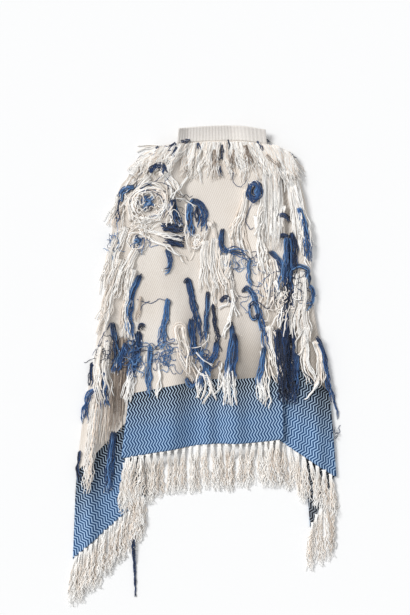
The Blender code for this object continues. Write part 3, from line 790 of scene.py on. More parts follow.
@dataclass
class HeightField:
    """Heights of the cloth and of the yarn on it, on a grid over the surface."""

    cell: float = 2.0
    low: Pair = (-400.0, -90.0)
    high: Pair = (400.0, 1140.0)
    pile_limit: float = 9.0
    slack: float = 0.6
    ground: Array = field(init=False)
    pile: Array = field(init=False)

    def __post_init__(self) -> None:
        sizes = [int((high - low) / self.cell) for low, high in zip(self.low, self.high)]
        self.ground = np.zeros(sizes)
        self.pile = np.zeros(sizes)

    def cells(self, plan: Array, radius: float) -> tuple[Array, Array]:
        """Indices of the cells within radius of each plan point, on a new last axis."""
        reach = int(math.ceil(radius / self.cell))
        steps = np.arange(-reach, reach + 1)
        limit = (radius + self.slack) / self.cell
        near = np.array([(i, j) for i in steps for j in steps if math.hypot(i, j) <= limit])
        across = ((plan[..., 0] - self.low[0]) / self.cell).astype(int)[..., None] + near[:, 0]
        down = ((plan[..., 1] - self.low[1]) / self.cell).astype(int)[..., None] + near[:, 1]
        last_across, last_down = self.ground.shape
        return np.clip(across, 0, last_across - 1), np.clip(down, 0, last_down - 1)

    def raise_ground(self, plan: Array, tops: Array, radius: float) -> None:
        """Raises the cloth's cells round each plan point to its top."""
        cells = self.cells(plan, radius)
        np.maximum.at(self.ground, cells, np.broadcast_to(tops[..., None], cells[0].shape))

    def raise_pile(self, plan: Array, tops: Array, radius: float) -> None:
        """Raises the yarn's cells round each plan point to its top."""
        cells = self.cells(plan, radius)
        np.maximum.at(self.pile, cells, np.broadcast_to(tops[..., None], cells[0].shape))

    def highest(self, plan: Array, radius: float) -> Array:
        """What a yarn of this radius lies on: the cloth, and the yarn on it pressed flat.

        A pile of height h over the cloth counts as limit * tanh(h / limit).
        """
        cells = self.cells(plan, radius)
        cloth = self.ground[cells].max(axis=-1)
        over = np.maximum(0.0, self.pile[cells].max(axis=-1) - cloth)
        return cloth + self.pile_limit * np.tanh(over / self.pile_limit)


# How a yarn's own colour comes about: weights of two shades, its brightness, and its fade's place
FIRST_SHADE = 0.8
SECOND_SHADE = 0.2
BRIGHTNESS_SPREAD = (0.84, 1.06)
FADE_SPREAD = (-0.08, 0.08)


@dataclass(frozen=True)
class Dye:
    """What colours a bundle's yarns have, and how their ends fade."""

    shades: tuple[Colour, ...]
    tip: Colour = ECRU_WHITE
    tip_from: float = 2.0
    tip_over: float = 0.1
    root: Colour = ECRU_WHITE
    root_over: float = 0.0

    def paint(self, rng: np.random.Generator, share: Array) -> Array:
        """Linear colours: four parts of one shade and one of another, fading to tip and root.

        Args:
            rng: the source of variation.
            share: (yarns, points) of the way along each.

        Returns:
            (yarns, points, 3).
        """
        yarns = len(share)
        shades = np.array([linear(shade) for shade in self.shades])
        first = shades[rng.integers(0, len(shades), yarns)]
        second = shades[rng.integers(0, len(shades), yarns)]
        own = first * FIRST_SHADE + second * SECOND_SHADE
        own = own * rng.uniform(*BRIGHTNESS_SPREAD, (yarns, 1))
        start = self.tip_from + rng.uniform(*FADE_SPREAD, (yarns, 1))
        fade = smooth_step(start, start + self.tip_over, share)
        colours = own[:, None] * (1 - fade[..., None]) + linear(self.tip) * fade[..., None]
        if self.root_over:
            near = 1 - smooth_step(0, self.root_over, share)[..., None]
            colours = colours * (1 - near) + linear(self.root) * near
        return colours


class Dyes(Enum):
    """The dyes that the yarns come in; some of them also carry painted shade and painted light."""

    UNDYED = Dye((ECRU, ECRU, ECRU_WHITE, ECRU_WARM, ECRU_WHITE))
    FRINGED = Dye(
        (ECRU, ECRU_WHITE, ECRU_WHITE, ECRU, ECRU_WARM, FLAX),
        tip_from=0.7,
        tip_over=0.3,
        root_over=0.3,
    )
    COLLAR = Dye((ECRU, ECRU_WARM, ECRU_WHITE, ECRU_WHITE, ECRU, ECRU_WHITE))
    NEAR_WHITE = Dye((ECRU_WHITE, ECRU_WHITE, ECRU))
    # Brown yarn for painted shade: beside hanks, under the swirl, and in the left fold's gap.
    SHADE_BROWN = Dye((TAN, FLAX, TAN))
    STRAW = Dye((ECRU, FLAX, ECRU_WARM, ECRU_WHITE, ECRU))
    # DEEP and DIPPED turn navy near their roots: painted shade where the hanks leave the cloth.
    DEEP = Dye((INDIGO, BLUE, NAVY, BLUE, DENIM, INDIGO), tip_from=0.92, root=NAVY, root_over=0.2)
    DIPPED = Dye((INDIGO, BLUE, NAVY, BLUE, DENIM), tip_from=0.58, root=NAVY, root_over=0.2)
    DARK = Dye((NAVY, INDIGO, NAVY))
    BRIGHT = Dye((BLUE, DENIM, BLUE, INDIGO, DENIM, NAVY))


@dataclass(frozen=True)
class Twist:
    """How the cords of a hank or tassel run.

    Lengths are in millimetres. The spread pairs a share of the way along with the share of the
    width that the cords fill there. Density is cords for each millimetre of width, uneven the
    share by which a cord may end early, ragged the share by which it may start late, and loose
    how far each cord sways on its own, from 0 for all as one to 1 for each as it likes. Drift is
    the share of the width by which a tip may stray, arch the height of the hump where the hank
    comes out, and taper the share of the radius that is left at the tip.
    """

    radius: float
    density: float
    wave: float
    wave_length: float
    uneven: float
    drift: float
    spread: tuple[Pair, ...]
    arch: float = 0.0
    ragged: float = 0.03
    loose: float = 1.0
    points: int = 24
    sides: int = 4
    taper: float = 0.7


# How the cords spread along a hank or tassel
TASSEL_SPREAD = ((0.0, 0.6), (0.04, 0.4), (0.10, 0.45), (0.3, 0.8), (0.6, 1.0), (1.0, 1.25))
HANK_SPREAD = ((0.0, 0.8), (0.12, 0.8), (0.5, 1.0), (0.75, 1.2), (1.0, 1.6))
BLUE_SPREAD = ((0.0, 0.5), (0.07, 1.05), (0.5, 1.2), (0.75, 1.4), (1.0, 1.9))
COLLAR_SPREAD = ((0.0, 0.8), (0.2, 1.0), (1.0, 1.9))
POINTED_SPREAD = ((0.0, 1.0), (1.0, 0.1))
EVEN_SPREAD = ((0.0, 1.0), (1.0, 1.0))

# The ways in which cords run
TASSEL_TWIST = Twist(0.9, 1.0, 2.5, 24.0, 0.26, 0.25, TASSEL_SPREAD, ragged=0.0)
COLLAR_TWIST = Twist(0.85, 1.0, 1.8, 34.0, 0.45, 0.45, COLLAR_SPREAD, points=16)
BLUE_TWIST = Twist(1.1, 0.95, 2.2, 46.0, 0.34, 0.35, BLUE_SPREAD, arch=3.0, ragged=0.06, loose=0.7)
ECRU_TWIST = Twist(1.2, 0.75, 2.2, 66.0, 0.42, 0.35, HANK_SPREAD, arch=4.0, loose=0.35)
CORD_TWIST = Twist(1.5, 0.5, 2.4, 50.0, 0.25, 0.50, HANK_SPREAD, arch=2.0, sides=5)
FLOAT_TWIST = Twist(0.75, 0.7, 0.6, 60.0, 0.30, 0.04, EVEN_SPREAD, arch=1.0, ragged=0.1)
THREAD_TWIST = Twist(0.65, 0.6, 1.0, 30.0, 0.10, 0.20, HANK_SPREAD, points=34)
LONE_TWIST = Twist(1.3, 0.5, 0.8, 40.0, 0.08, 0.20, HANK_SPREAD, points=34)
MAT_TWIST = Twist(1.2, 0.9, 1.8, 30.0, 0.25, 0.2, EVEN_SPREAD, arch=1.0, ragged=0.3)
POINTED_TWIST = Twist(0.8, 1.0, 0.8, 24.0, 0.30, 0.05, POINTED_SPREAD, points=34)


# How the cords of a hank differ: lane, pace, and radius; and their second and upright waves
LANE_SPREAD = (0.15, 0.85)
PACE_SPREAD = (-0.25, 0.3)
RADIUS_SPREAD = (0.85, 1.15)
SECOND_PACE = 2.1
SECOND_WAVE = 0.5
UPRIGHT_PACE = 0.9
UPRIGHT_WAVE = 0.3
TAPER_FROM = 0.85

# How a cord's sway grows along it: its least, the rest, and how soon and how evenly that comes
SWAY_LEAST = 0.2
SWAY_REST = 0.8
SWAY_PACE = 1.6
SWAY_POWER = 1.3

# Along a hank, in millimetres: its hump, how deep it starts, and where a raised start has sunk
HUMP_AT = 7
HUMP_REACH = 5
BURIED = 1.5
SINK_FROM = 2
SINK_TO = 40

# How far beside a yarn, and beside the middle of a hank, what lies there still holds it up
YARN_MARGIN = 1.0
HANK_MARGIN = 1.0

# What other yarn meets: shares of a hank's depth and width, and of a single yarn's radius
PRESSED_DEPTH = 0.7
PRESSED_WIDTH = 0.4
PRESSED_YARN = 0.3


class YarnPile:
    """The yarns of one piece, gathered before they become one mesh."""

    def __init__(self, name: str, heights: HeightField, seed: int) -> None:
        self.name = name
        self.heights = heights
        self.rng = np.random.default_rng(seed)
        self.batches: list[tuple[Array, Array, Array, int]] = []

    def add(self, paths: Array, radii: Array, colours: Array, sides: int) -> None:
        """Adds yarns given by their middle lines in millimetres, kept above the surface."""
        paths[..., 2] = np.maximum(paths[..., 2], radii + 0.1)
        self.batches.append((paths, radii, colours, sides))

    def settled(self, plan: Array, radius: float) -> Array:
        """Height of what each yarn lies on: the highest of three neighbours, then smoothed."""
        highest = np.maximum.reduce(neighbours(self.heights.highest(plan, radius)))
        before, here, after = neighbours(highest)
        return (before + 2 * here + after) / 4

    def lay(
        self, plan: Array, width: float, cords: int, twist: Twist, dye: Dye, start: float = 0.0
    ) -> None:
        """Lays the cords of one hank along a plan path.

        A cord runs beside the path at its own share of the width, sways by a sum of sines that
        grows towards the tip, drifts off with the square of the way along, and lies at its own
        height on what is under it. An arched hank leaves the cloth in a small hump.

        Args:
            plan: (points, 2) of the hank's middle line.
            width: how wide it is where its spread is 1.
            cords: how many there are.
            twist: how they run.
            dye: their colours.
            start: the least height at the first point, from which the hank sinks to what is there.
        """
        rng = self.rng
        column = (cords, 1)
        first = twist.ragged * rng.random(column)
        last = 1 - twist.uneven * rng.random(column) ** 2
        share = first + (last - first) * np.linspace(0, 1, twist.points)[None]
        places = np.linspace(0, 1, len(plan))
        slope = np.gradient(plan, axis=0)
        normal = unit(np.stack([-slope[:, 1], slope[:, 0]], axis=1))
        middle = np.stack([np.interp(share, places, plan[:, axis]) for axis in (0, 1)], axis=-1)
        aside = np.stack([np.interp(share, places, normal[:, axis]) for axis in (0, 1)], axis=-1)
        length = float(np.linalg.norm(np.diff(plan, axis=0), axis=1).sum())
        lane = ((np.arange(cords) + rng.uniform(*LANE_SPREAD, cords)) / cords - 0.5)[:, None]
        spread = np.interp(share, *np.array(twist.spread).T)

        turns = length / twist.wave_length * (1 + twist.loose * rng.uniform(*PACE_SPREAD, column))
        phase = rng.uniform(0, FULL_TURN) + twist.loose * rng.uniform(-math.pi, math.pi, column)
        swell = np.clip(share * SWAY_PACE, 0, 1) ** SWAY_POWER
        grow = twist.wave * (SWAY_LEAST + SWAY_REST * swell)
        sway = np.sin(FULL_TURN * turns * share + phase)
        sway += SECOND_WAVE * np.sin(FULL_TURN * SECOND_PACE * turns * share + 2 * phase)
        drift = rng.uniform(-1, 1, column) * twist.drift * width * share**2
        plans = middle + aside * (lane * width * spread + grow * sway + drift)[..., None]

        dome = np.sqrt(np.clip(1 - (2 * lane) ** 2, 0, 1))
        depth = twist.radius * math.sqrt(cords)
        level = rng.permutation(cords)[:, None] / max(1, cords - 1) * dome * depth
        upright = 1 + np.cos(FULL_TURN * UPRIGHT_PACE * turns * share + phase)
        bob = UPRIGHT_WAVE * grow * upright
        heights = self.settled(plans, twist.radius + YARN_MARGIN) + twist.radius + level + bob
        gone = share * length
        raised = 1 - smooth_step(SINK_FROM, SINK_TO, gone)
        heights += np.maximum(0, start - heights) * raised
        if twist.arch:
            heights += twist.arch * np.exp(-(((gone - HUMP_AT) / HUMP_REACH) ** 2))
            under = 1 - smooth_step(0, HUMP_REACH, gone)
            heights -= (2 * twist.radius + level + BURIED) * under
        taper = np.interp(share, (0, TAPER_FROM, 1), (1, 1, twist.taper))
        radii = twist.radius * rng.uniform(*RADIUS_SPREAD, column) * taper
        paths = np.concatenate([plans, heights[..., None]], axis=-1)
        self.add(paths, radii, dye.paint(rng, share), twist.sides)
        below = self.heights.highest(plan, HANK_MARGIN)
        tops = below + PRESSED_DEPTH * depth + twist.radius
        self.heights.raise_pile(plan, tops, width * PRESSED_WIDTH)

    def wind(self, plans: Array, radius: float, lift: float, dye: Dye) -> None:
        """Lays single yarns along plan paths, each over what is there.

        Args:
            plans: (yarns, points, 2).
            radius: of each yarn.
            lift: how far a yarn may bow up off what it lies on.
            dye: their colours.
        """
        share = np.linspace(0, 1, plans.shape[1])[None]
        for plan in plans:
            bow = lift * self.rng.random() * np.sin(FULL_TURN * share) ** 2
            heights = self.settled(plan[None], radius + YARN_MARGIN) + radius + bow
            path = np.concatenate([plan[None], heights[..., None]], axis=-1)
            self.add(path, np.full(share.shape, radius), dye.paint(self.rng, share), 4)
            self.heights.raise_pile(plan, heights[0] + radius * PRESSED_YARN, radius)

    def build(self, material: bpy.types.Material) -> bpy.types.Object:
        """One piece of all the yarns, with each yarn's dye and places on it."""
        vertices, walls, starts, ends, dyes, places = [], [], [], [], [], []
        offset = 0
        for paths, radii, colours, sides in self.batches:
            yarns, points = radii.shape
            made, parts = tubes(to_frame(paths), radii * MM, sides)
            steps = np.linalg.norm(np.diff(paths, axis=1), axis=2) * MM
            place = np.zeros((yarns, points, sides, 3))
            place[:, 1:, :, 0] = np.cumsum(steps, axis=1)[:, :, None]
            place[..., 1] = np.abs(np.arange(sides) / sides - 0.5)
            vertices.append(made)
            places.append(place.reshape(-1, 3))
            dyes.append(np.repeat(colours.reshape(-1, 3), sides, axis=0))
            for kept, part in zip((walls, starts, ends), parts):
                kept.append(part + offset)
            offset += len(made)
        faces = [np.concatenate(walls), *starts, *ends]
        mesh = Mesher.mesh(self.name, np.concatenate(vertices), faces)
        Mesher.colours(mesh, "yarn_dye", np.concatenate(dyes))
        Mesher.vectors(mesh, "yarn_place", np.concatenate(places))
        return Mesher.piece(mesh, [material])


# How often a hanging strand swings over its length, and how many points the path of a hank has
HANG_SWINGS = 1.1
PATH_POINTS = 34


def hanging_path(
    root: Array, length: float, heading: float, curl: float, sway: float, points: int = 24
) -> Array:
    """A strand's plan: it sets off at heading, turns by curl over its length and sways.

    Args:
        root: across and down of its start.
        length: along the strand.
        heading: degrees from straight down, positive to the right.
        curl: degrees turned over the length.
        sway: degrees of the side to side swing.
        points: how many points the plan has.

    Returns:
        (points, 2) across and down.
    """
    share = np.linspace(0, 1, points)
    angle = np.radians(heading + curl * share + sway * np.sin(HANG_SWINGS * FULL_TURN * share))
    steps = np.stack([np.sin(angle[:-1]), np.cos(angle[:-1])], axis=1) * length / (points - 1)
    return root + np.concatenate([np.zeros((1, 2)), np.cumsum(steps, axis=0)])


@dataclass(frozen=True)
class Hank:
    """A hank of cords that comes out of the cloth: its path in marks, its width in millimetres."""

    dye: Dyes
    width: float
    path: tuple[Mark, ...]
    twist: Twist

    def lay(self, pile: YarnPile) -> None:
        """Lays the hank on the pile."""
        cords = max(1, round(self.width * self.twist.density))
        plan = plan_through(self.path, PATH_POINTS)
        pile.lay(plan, self.width, cords, self.twist, self.dye.value)


def hanks(dye: Dyes, *rows: tuple, twist: Twist | None = None) -> tuple[Hank, ...]:
    """Hanks of one dye.

    Args:
        dye: theirs.
        rows: the width and the marks of the path of each.
        twist: how the cords run, or the usual way for the dye.

    Returns:
        The hanks.
    """
    usual = {Dyes.UNDYED: ECRU_TWIST, Dyes.SHADE_BROWN: ECRU_TWIST, Dyes.NEAR_WHITE: CORD_TWIST}
    chosen = twist or usual.get(dye, BLUE_TWIST)
    return tuple(Hank(dye, row[0], row[1:], chosen) for row in rows)


@dataclass(frozen=True)
class Wad:
    """Yarn wound loosely inside an oval; its middle and reach are in marks.

    The hollow is the share of the reach that stays open in the middle.
    """

    dye: Dyes
    middle: Mark
    reach: Mark
    yarns: int
    radius: float = 0.9
    hollow: float = 0.15
    turns: Pair = (0.5, 1.7)
    swings: Pair = (0.8, 2.4)
    waves: Pair = (0.6, 2.0)
    stray: float = 0.55
    sizes: Pair = (0.6, 1.1)
    points: int = 48

    def plans(self, rng: np.random.Generator) -> Array:
        """Plans of the yarns: r(t) (cos a(t), sin a(t)) plus slower sines across and down."""
        column = (self.yarns, 1)
        share = np.linspace(0, 1, self.points)[None]
        turns = rng.uniform(*self.turns, column) * rng.choice((-1, 1), column)
        phases = rng.uniform(0, FULL_TURN, (4, *column))
        angle = FULL_TURN * turns * share + phases[0]
        swings = FULL_TURN * rng.uniform(*self.swings, column)
        swing = 0.5 + 0.5 * np.sin(swings * share + phases[1])
        radius = self.hollow + (1 - self.hollow) * swing * rng.uniform(*self.sizes, column)
        stray = (1 - self.hollow) * self.stray
        slow = FULL_TURN * rng.uniform(*self.waves, (2, *column))
        waves = np.sin(slow * share + phases[2:])
        across = self.reach[0] * (radius * np.cos(angle) + stray * waves[0])
        down = self.reach[1] * (radius * np.sin(angle) + stray * waves[1])
        return at_marks(self.middle) + np.stack([across, down], axis=-1) * MARK_STEP


@dataclass(frozen=True)
class Swirl:
    """Open arcs of yarn round a middle, in marks; sweeps are in degrees."""

    dye: Dyes
    middle: Mark
    inner: float
    outer: float
    arcs: int
    radius: float
    sweep: Pair = (60.0, 150.0)
    shift: float = 5.0
    growth: float = 0.3
    ripple: float = 0.5
    ripple_turns: float = 2.3
    points: int = 30

    def plans(self, rng: np.random.Generator) -> Array:
        """Plans of the arcs: radius growing evenly with the angle, plus a small sine."""
        column = (self.arcs, 1)
        share = np.linspace(0, 1, self.points)[None]
        start = rng.uniform(0, FULL_TURN, column)
        sweep = np.radians(rng.uniform(*self.sweep, column)) * rng.choice((-1, 1), column)
        base = rng.uniform(self.inner, self.outer, column)
        reach = base * (1 + rng.uniform(-self.growth, self.growth, column) * share)
        reach = reach + self.ripple * np.sin(FULL_TURN * self.ripple_turns * share + start)
        centre = np.array(self.middle) + rng.uniform(-self.shift, self.shift, (self.arcs, 1, 2))
        angle = start + sweep * share
        marks = centre + np.stack([reach * np.cos(angle), reach * np.sin(angle)], axis=-1)
        return at_marks(marks)


@dataclass(frozen=True)
class Curls:
    """Thin threads that wander off in loose curls from near one mark.

    Length, radius and wave lengths are in millimetres, and heading, spread, turning and swings in
    degrees.
    """

    dye: Dyes
    middle: Mark
    reach: Mark
    threads: int
    length: float
    heading: float = 0.0
    radius: float = 0.6
    spread: float = 50.0
    turning: float = 260.0
    swings: Pair = (60.0, 25.0)
    wave_lengths: Pair = (34.0, 60.0)
    length_spread: Pair = (0.5, 1.2)
    second_pace: float = 2.3
    points: int = 36

    def plans(self, rng: np.random.Generator) -> Array:
        """Plans of the threads: the heading turns evenly and swings by two slow sines."""
        column = (self.threads, 1)
        share = np.linspace(0, 1, self.points)[None]
        lengths = self.length * rng.uniform(*self.length_spread, column)
        phases = rng.uniform(0, FULL_TURN, (2, *column))
        turns = lengths / rng.uniform(*self.wave_lengths, column)
        angle = self.heading + rng.uniform(-self.spread, self.spread, column)
        angle = angle + rng.uniform(-self.turning, self.turning, column) * share
        angle = angle + self.swings[0] * np.sin(FULL_TURN * turns * share + phases[0])
        quick = FULL_TURN * self.second_pace * turns * share
        angle = np.radians(angle + self.swings[1] * np.sin(quick + phases[1]))
        step = (lengths / share.shape[1])[..., None]
        walk = np.cumsum(np.stack([np.sin(angle), np.cos(angle)], axis=-1) * step, axis=1)
        starts = rng.uniform(-1, 1, (self.threads, 1, 2)) * np.array(self.reach) * MARK_STEP
        return at_marks(self.middle) + starts + walk


# The cloth's unevenness: weight, wave length across and down in millimetres, and phase
RIPPLES = ((1.0, 17, 61, 0.0), (0.8, 29, -43, 1.3), (0.6, 11, 150, 0.5), (0.5, 90, 23, 0.0))


@dataclass
class Cloth:
    """The woven sheet with its wings, pleats and folded front corner."""

    layout: ShawlLayout
    cell: float = 5.0
    rows: int = 150
    fold_cells: int = 8
    ripple_rise: float = 1.1
    ripple_limit: float = 1.2
    wing_stretch: float = 1.35
    left_turn: float = -38.0
    right_turn: float = 28.0
    front: WovenFinish = WovenFinish(
        "shawl_front",
        ground=(0.99, 0.97, 0.945),
        ground_shade=(0.84, 0.79, 0.735),
        line=(0.86, 0.93, 0.98),
        line_shade=(0.55, 0.71, 0.88),
        base=(0.035, 0.08, 0.16),
        base_shade=(0.14, 0.30, 0.49),
    )
    # The underside: the reverse face is real, but its greyed, darker colours are painted shade.
    shaded_reverse: WovenFinish = WovenFinish(
        "shawl_shaded_reverse",
        ground=ECRU_WARM,
        ground_shade=(0.78, 0.72, 0.66),
        line=(0.70, 0.73, 0.76),
        line_shade=(0.5, 0.53, 0.57),
        base=(0.05, 0.06, 0.08),
        base_shade=(0.10, 0.11, 0.14),
    )

    def surface(self) -> Array:
        """The middle surface, raised by the ripples w sin(x / a + y / b + c) where they add up."""
        points = self.layout.sheet(self.cell, self.rows, self.fold_cells)
        x, y = points[..., 0], points[..., 1]
        ripple = sum(weight * np.sin(x / a + y / b + c) for weight, a, b, c in RIPPLES)
        points[..., 2] += self.ripple_rise * np.clip(ripple / 2, 0, self.ripple_limit)
        return points

    def weave_places(self, points: Array) -> tuple[Array, Array]:
        """The UV maps of the weave and of the herringbone's teeth, in metres.

        The weave counts along the weft from the middle and along the warp from the hem. It is
        stretched on the wings, so that a length up the warp there counts for less. The teeth
        follow the weave on the back. On each wing they follow the plan, turned by an angle t:
        u = x cos t + y sin t, v = y cos t - x sin t.
        """
        across = np.zeros(points.shape[:2])
        across[1:] = np.cumsum(np.linalg.norm(np.diff(points, axis=0), axis=2), axis=0)
        across = across - across[np.argmin(np.abs(points[:, -1, 0]))]
        up = np.zeros(points.shape[:2])
        down_steps = np.linalg.norm(np.diff(points, axis=1), axis=2)
        up[:, :-1] = np.cumsum(down_steps[:, ::-1], axis=1)[:, ::-1]
        on_wing = np.abs(across) > self.front.wings_from
        up = np.where(on_wing, up / self.wing_stretch, up)
        weave = np.stack([across, up], axis=-1)
        turn = np.radians(np.where(across < 0, self.left_turn, self.right_turn))
        x, y = points[..., 0], points[..., 1]
        beside = x * np.cos(turn) + y * np.sin(turn)
        beyond = y * np.cos(turn) - x * np.sin(turn)
        turned = np.stack([beside, beyond], axis=-1)
        teeth = np.where(on_wing[..., None], turned, weave)
        return weave.reshape(-1, 2) * MM, teeth.reshape(-1, 2) * MM

    def build(self) -> tuple[bpy.types.Object, Array, float]:
        """Makes the cloth.

        Returns:
            The piece, its middle surface in millimetres, and its area in square metres.
        """
        points = self.surface()
        faces = Mesher.grid_faces(*points.shape[:2])
        mesh = Mesher.mesh("shawl_cloth", to_frame(points).reshape(-1, 3), [faces])
        weave, teeth = self.weave_places(points)
        Mesher.uv(mesh, "weave", weave)
        Mesher.uv(mesh, "teeth", teeth)
        piece = Mesher.piece(mesh, [self.front.material(), self.shaded_reverse.material()])
        area = sum(polygon.area for polygon in mesh.polygons)
        Mesher.thicken(piece, self.layout.thick).material_offset = 1
        return piece, points, area


@dataclass
class NeckBand:
    """The ribbed band that goes on from the neck edge and curls up a little."""

    share_from: float = 0.20
    share_to: float = 0.94
    height: float = 32.0
    curl: float = 9.0
    ribs: int = 27
    rib_rise: float = 0.7
    rib_cells: int = 8
    rows: int = 14
    gap: float = 0.3
    slope_share: float = 0.03
    thick: float = 2.0
    finish: KnitFinish = KnitFinish("neck_band_knit", ECRU_WHITE, (0.90, 0.86, 0.82))

    def build(self, layout: ShawlLayout) -> bpy.types.Object:
        """Makes the band: a raised cosine for each rib, plus the curl of its free edge."""
        shares = np.linspace(self.share_from, self.share_to, self.ribs * self.rib_cells + 1)
        first = layout.points(Part.BACK, shares, np.array([0.0, self.slope_share]))
        onward = unit(first[:, 0, :2] - first[:, 1, :2])
        phase = FULL_TURN * np.linspace(0, self.ribs, len(shares))
        rib = self.rib_rise * (0.5 - 0.5 * np.cos(phase))
        share = np.linspace(1, 0, self.rows + 1)
        distance = self.gap + self.height * share
        plan = first[:, None, 0, :2] + onward[:, None] * distance[None, :, None]
        height = first[:, None, 0, 2] + rib[:, None] + (self.curl * share**2)[None]
        points = np.concatenate([plan, height[..., None]], axis=2)
        faces = Mesher.grid_faces(*points.shape[:2])
        mesh = Mesher.mesh("neck_band_ribs", to_frame(points).reshape(-1, 3), [faces])
        weft = np.broadcast_to(plan[:, :1, 0] * MM, plan.shape[:2])
        warp = np.broadcast_to(distance[None] * MM, plan.shape[:2])
        Mesher.uv(mesh, "weave", np.stack([weft, warp], axis=-1).reshape(-1, 2))
        piece = Mesher.piece(mesh, [self.finish.material()])
        Mesher.thicken(piece, self.thick)
        return piece


@dataclass(frozen=True)
class HemFringe:
    """Knotted tassels along one hem: warp ends drawn together, knotted, and left to fray.

    Headings are in degrees. They and the stretches run evenly from the first tassel to the last,
    and first_full widens those in the first share. The parts in under lie below this fringe.
    """

    node: str
    part: Part
    tassels: int
    first_heading: float
    last_heading: float
    first_stretch: float = 1.0
    last_stretch: float = 1.0
    under: tuple[Part, ...] = ()
    first_full: float = 1.0
    trim: float = 3.0
    knot_down: float = 2.5
    knot_drop: float = 2.0
    knot_radius: float = 1.5
    knot_half: float = 2.2
    knot_turns: float = 2.6
    knot_yarn: float = 0.9
    knot_squash: float = 0.8
    knot_points: int = 26
    first_share: float = 0.25
    length: float = 104.0
    width: float = 13.0
    length_spread: Pair = (0.90, 1.06)
    width_spread: Pair = (0.85, 1.2)
    heading_spread: float = 4.0
    curl_spread: float = 8.0
    sway_spread: float = 9.0

    def roots(self, layout: ShawlLayout) -> Array:
        """Where each tassel leaves the hem, (tassels, 3)."""
        ends = layout.points(self.part, np.array([0.0, 1.0]), np.array([1.0]))[:, 0, :2]
        trim = self.trim / float(np.linalg.norm(ends[1] - ends[0]))
        margin = 0.5 / self.tassels
        shares = trim + (1 - 2 * trim) * np.linspace(margin, 1 - margin, self.tassels)
        return layout.points(self.part, shares, np.array([1.0]))[:, 0]

    def knots(self, pile: YarnPile, places: Array) -> None:
        """Adds a small knot at each place: yarn wound round in a short coil."""
        turns = np.linspace(0, self.knot_turns * FULL_TURN, self.knot_points)
        ring = [
            np.cos(turns) * self.knot_radius,
            np.linspace(-self.knot_half, self.knot_half, len(turns)),
            (np.sin(turns) + 1) * self.knot_radius * self.knot_squash,
        ]
        paths = places[:, None] + np.stack(ring, axis=1)[None]
        colours = Dyes.UNDYED.value.paint(pile.rng, np.zeros(paths.shape[:2]))
        pile.add(paths, np.full(paths.shape[:2], self.knot_yarn), colours, 4)

    def build(
        self, layout: ShawlLayout, heights: HeightField, seed: int, material: bpy.types.Material
    ) -> bpy.types.Object:
        """Lays the tassels and makes their piece.

        Args:
            layout: how the cloth lies.
            heights: what the tassels lie on.
            seed: starts this fringe's own variation.
            material: the yarn's.

        Returns:
            The piece.
        """
        pile = YarnPile(f"{self.node}_yarn", heights, seed)
        roots = self.roots(layout)
        rng = pile.rng
        knots = []
        for number, root in enumerate(roots):
            share = (number + 0.5) / len(roots)
            early = max(0.0, 1 - share / self.first_share)
            stretch = self.first_stretch + (self.last_stretch - self.first_stretch) * share
            length = self.length * stretch * rng.uniform(*self.length_spread)
            heading = self.first_heading + (self.last_heading - self.first_heading) * share
            heading = heading + rng.uniform(-self.heading_spread, self.heading_spread)
            curl = rng.uniform(-self.curl_spread, self.curl_spread)
            sway = rng.uniform(-self.sway_spread, self.sway_spread)
            plan = hanging_path(root[:2], length, heading, curl, sway)
            full = 1 + (self.first_full - 1) * early
            width = self.width * rng.uniform(*self.width_spread) * full
            pile.lay(plan, width, round(width), TASSEL_TWIST, Dyes.FRINGED.value, root[2])
            place = plan[0] + unit(plan[1] - plan[0]) * self.knot_down
            knots.append((*place, max(0.0, root[2] - self.knot_drop)))
        self.knots(pile, np.array(knots))
        return pile.build(material)


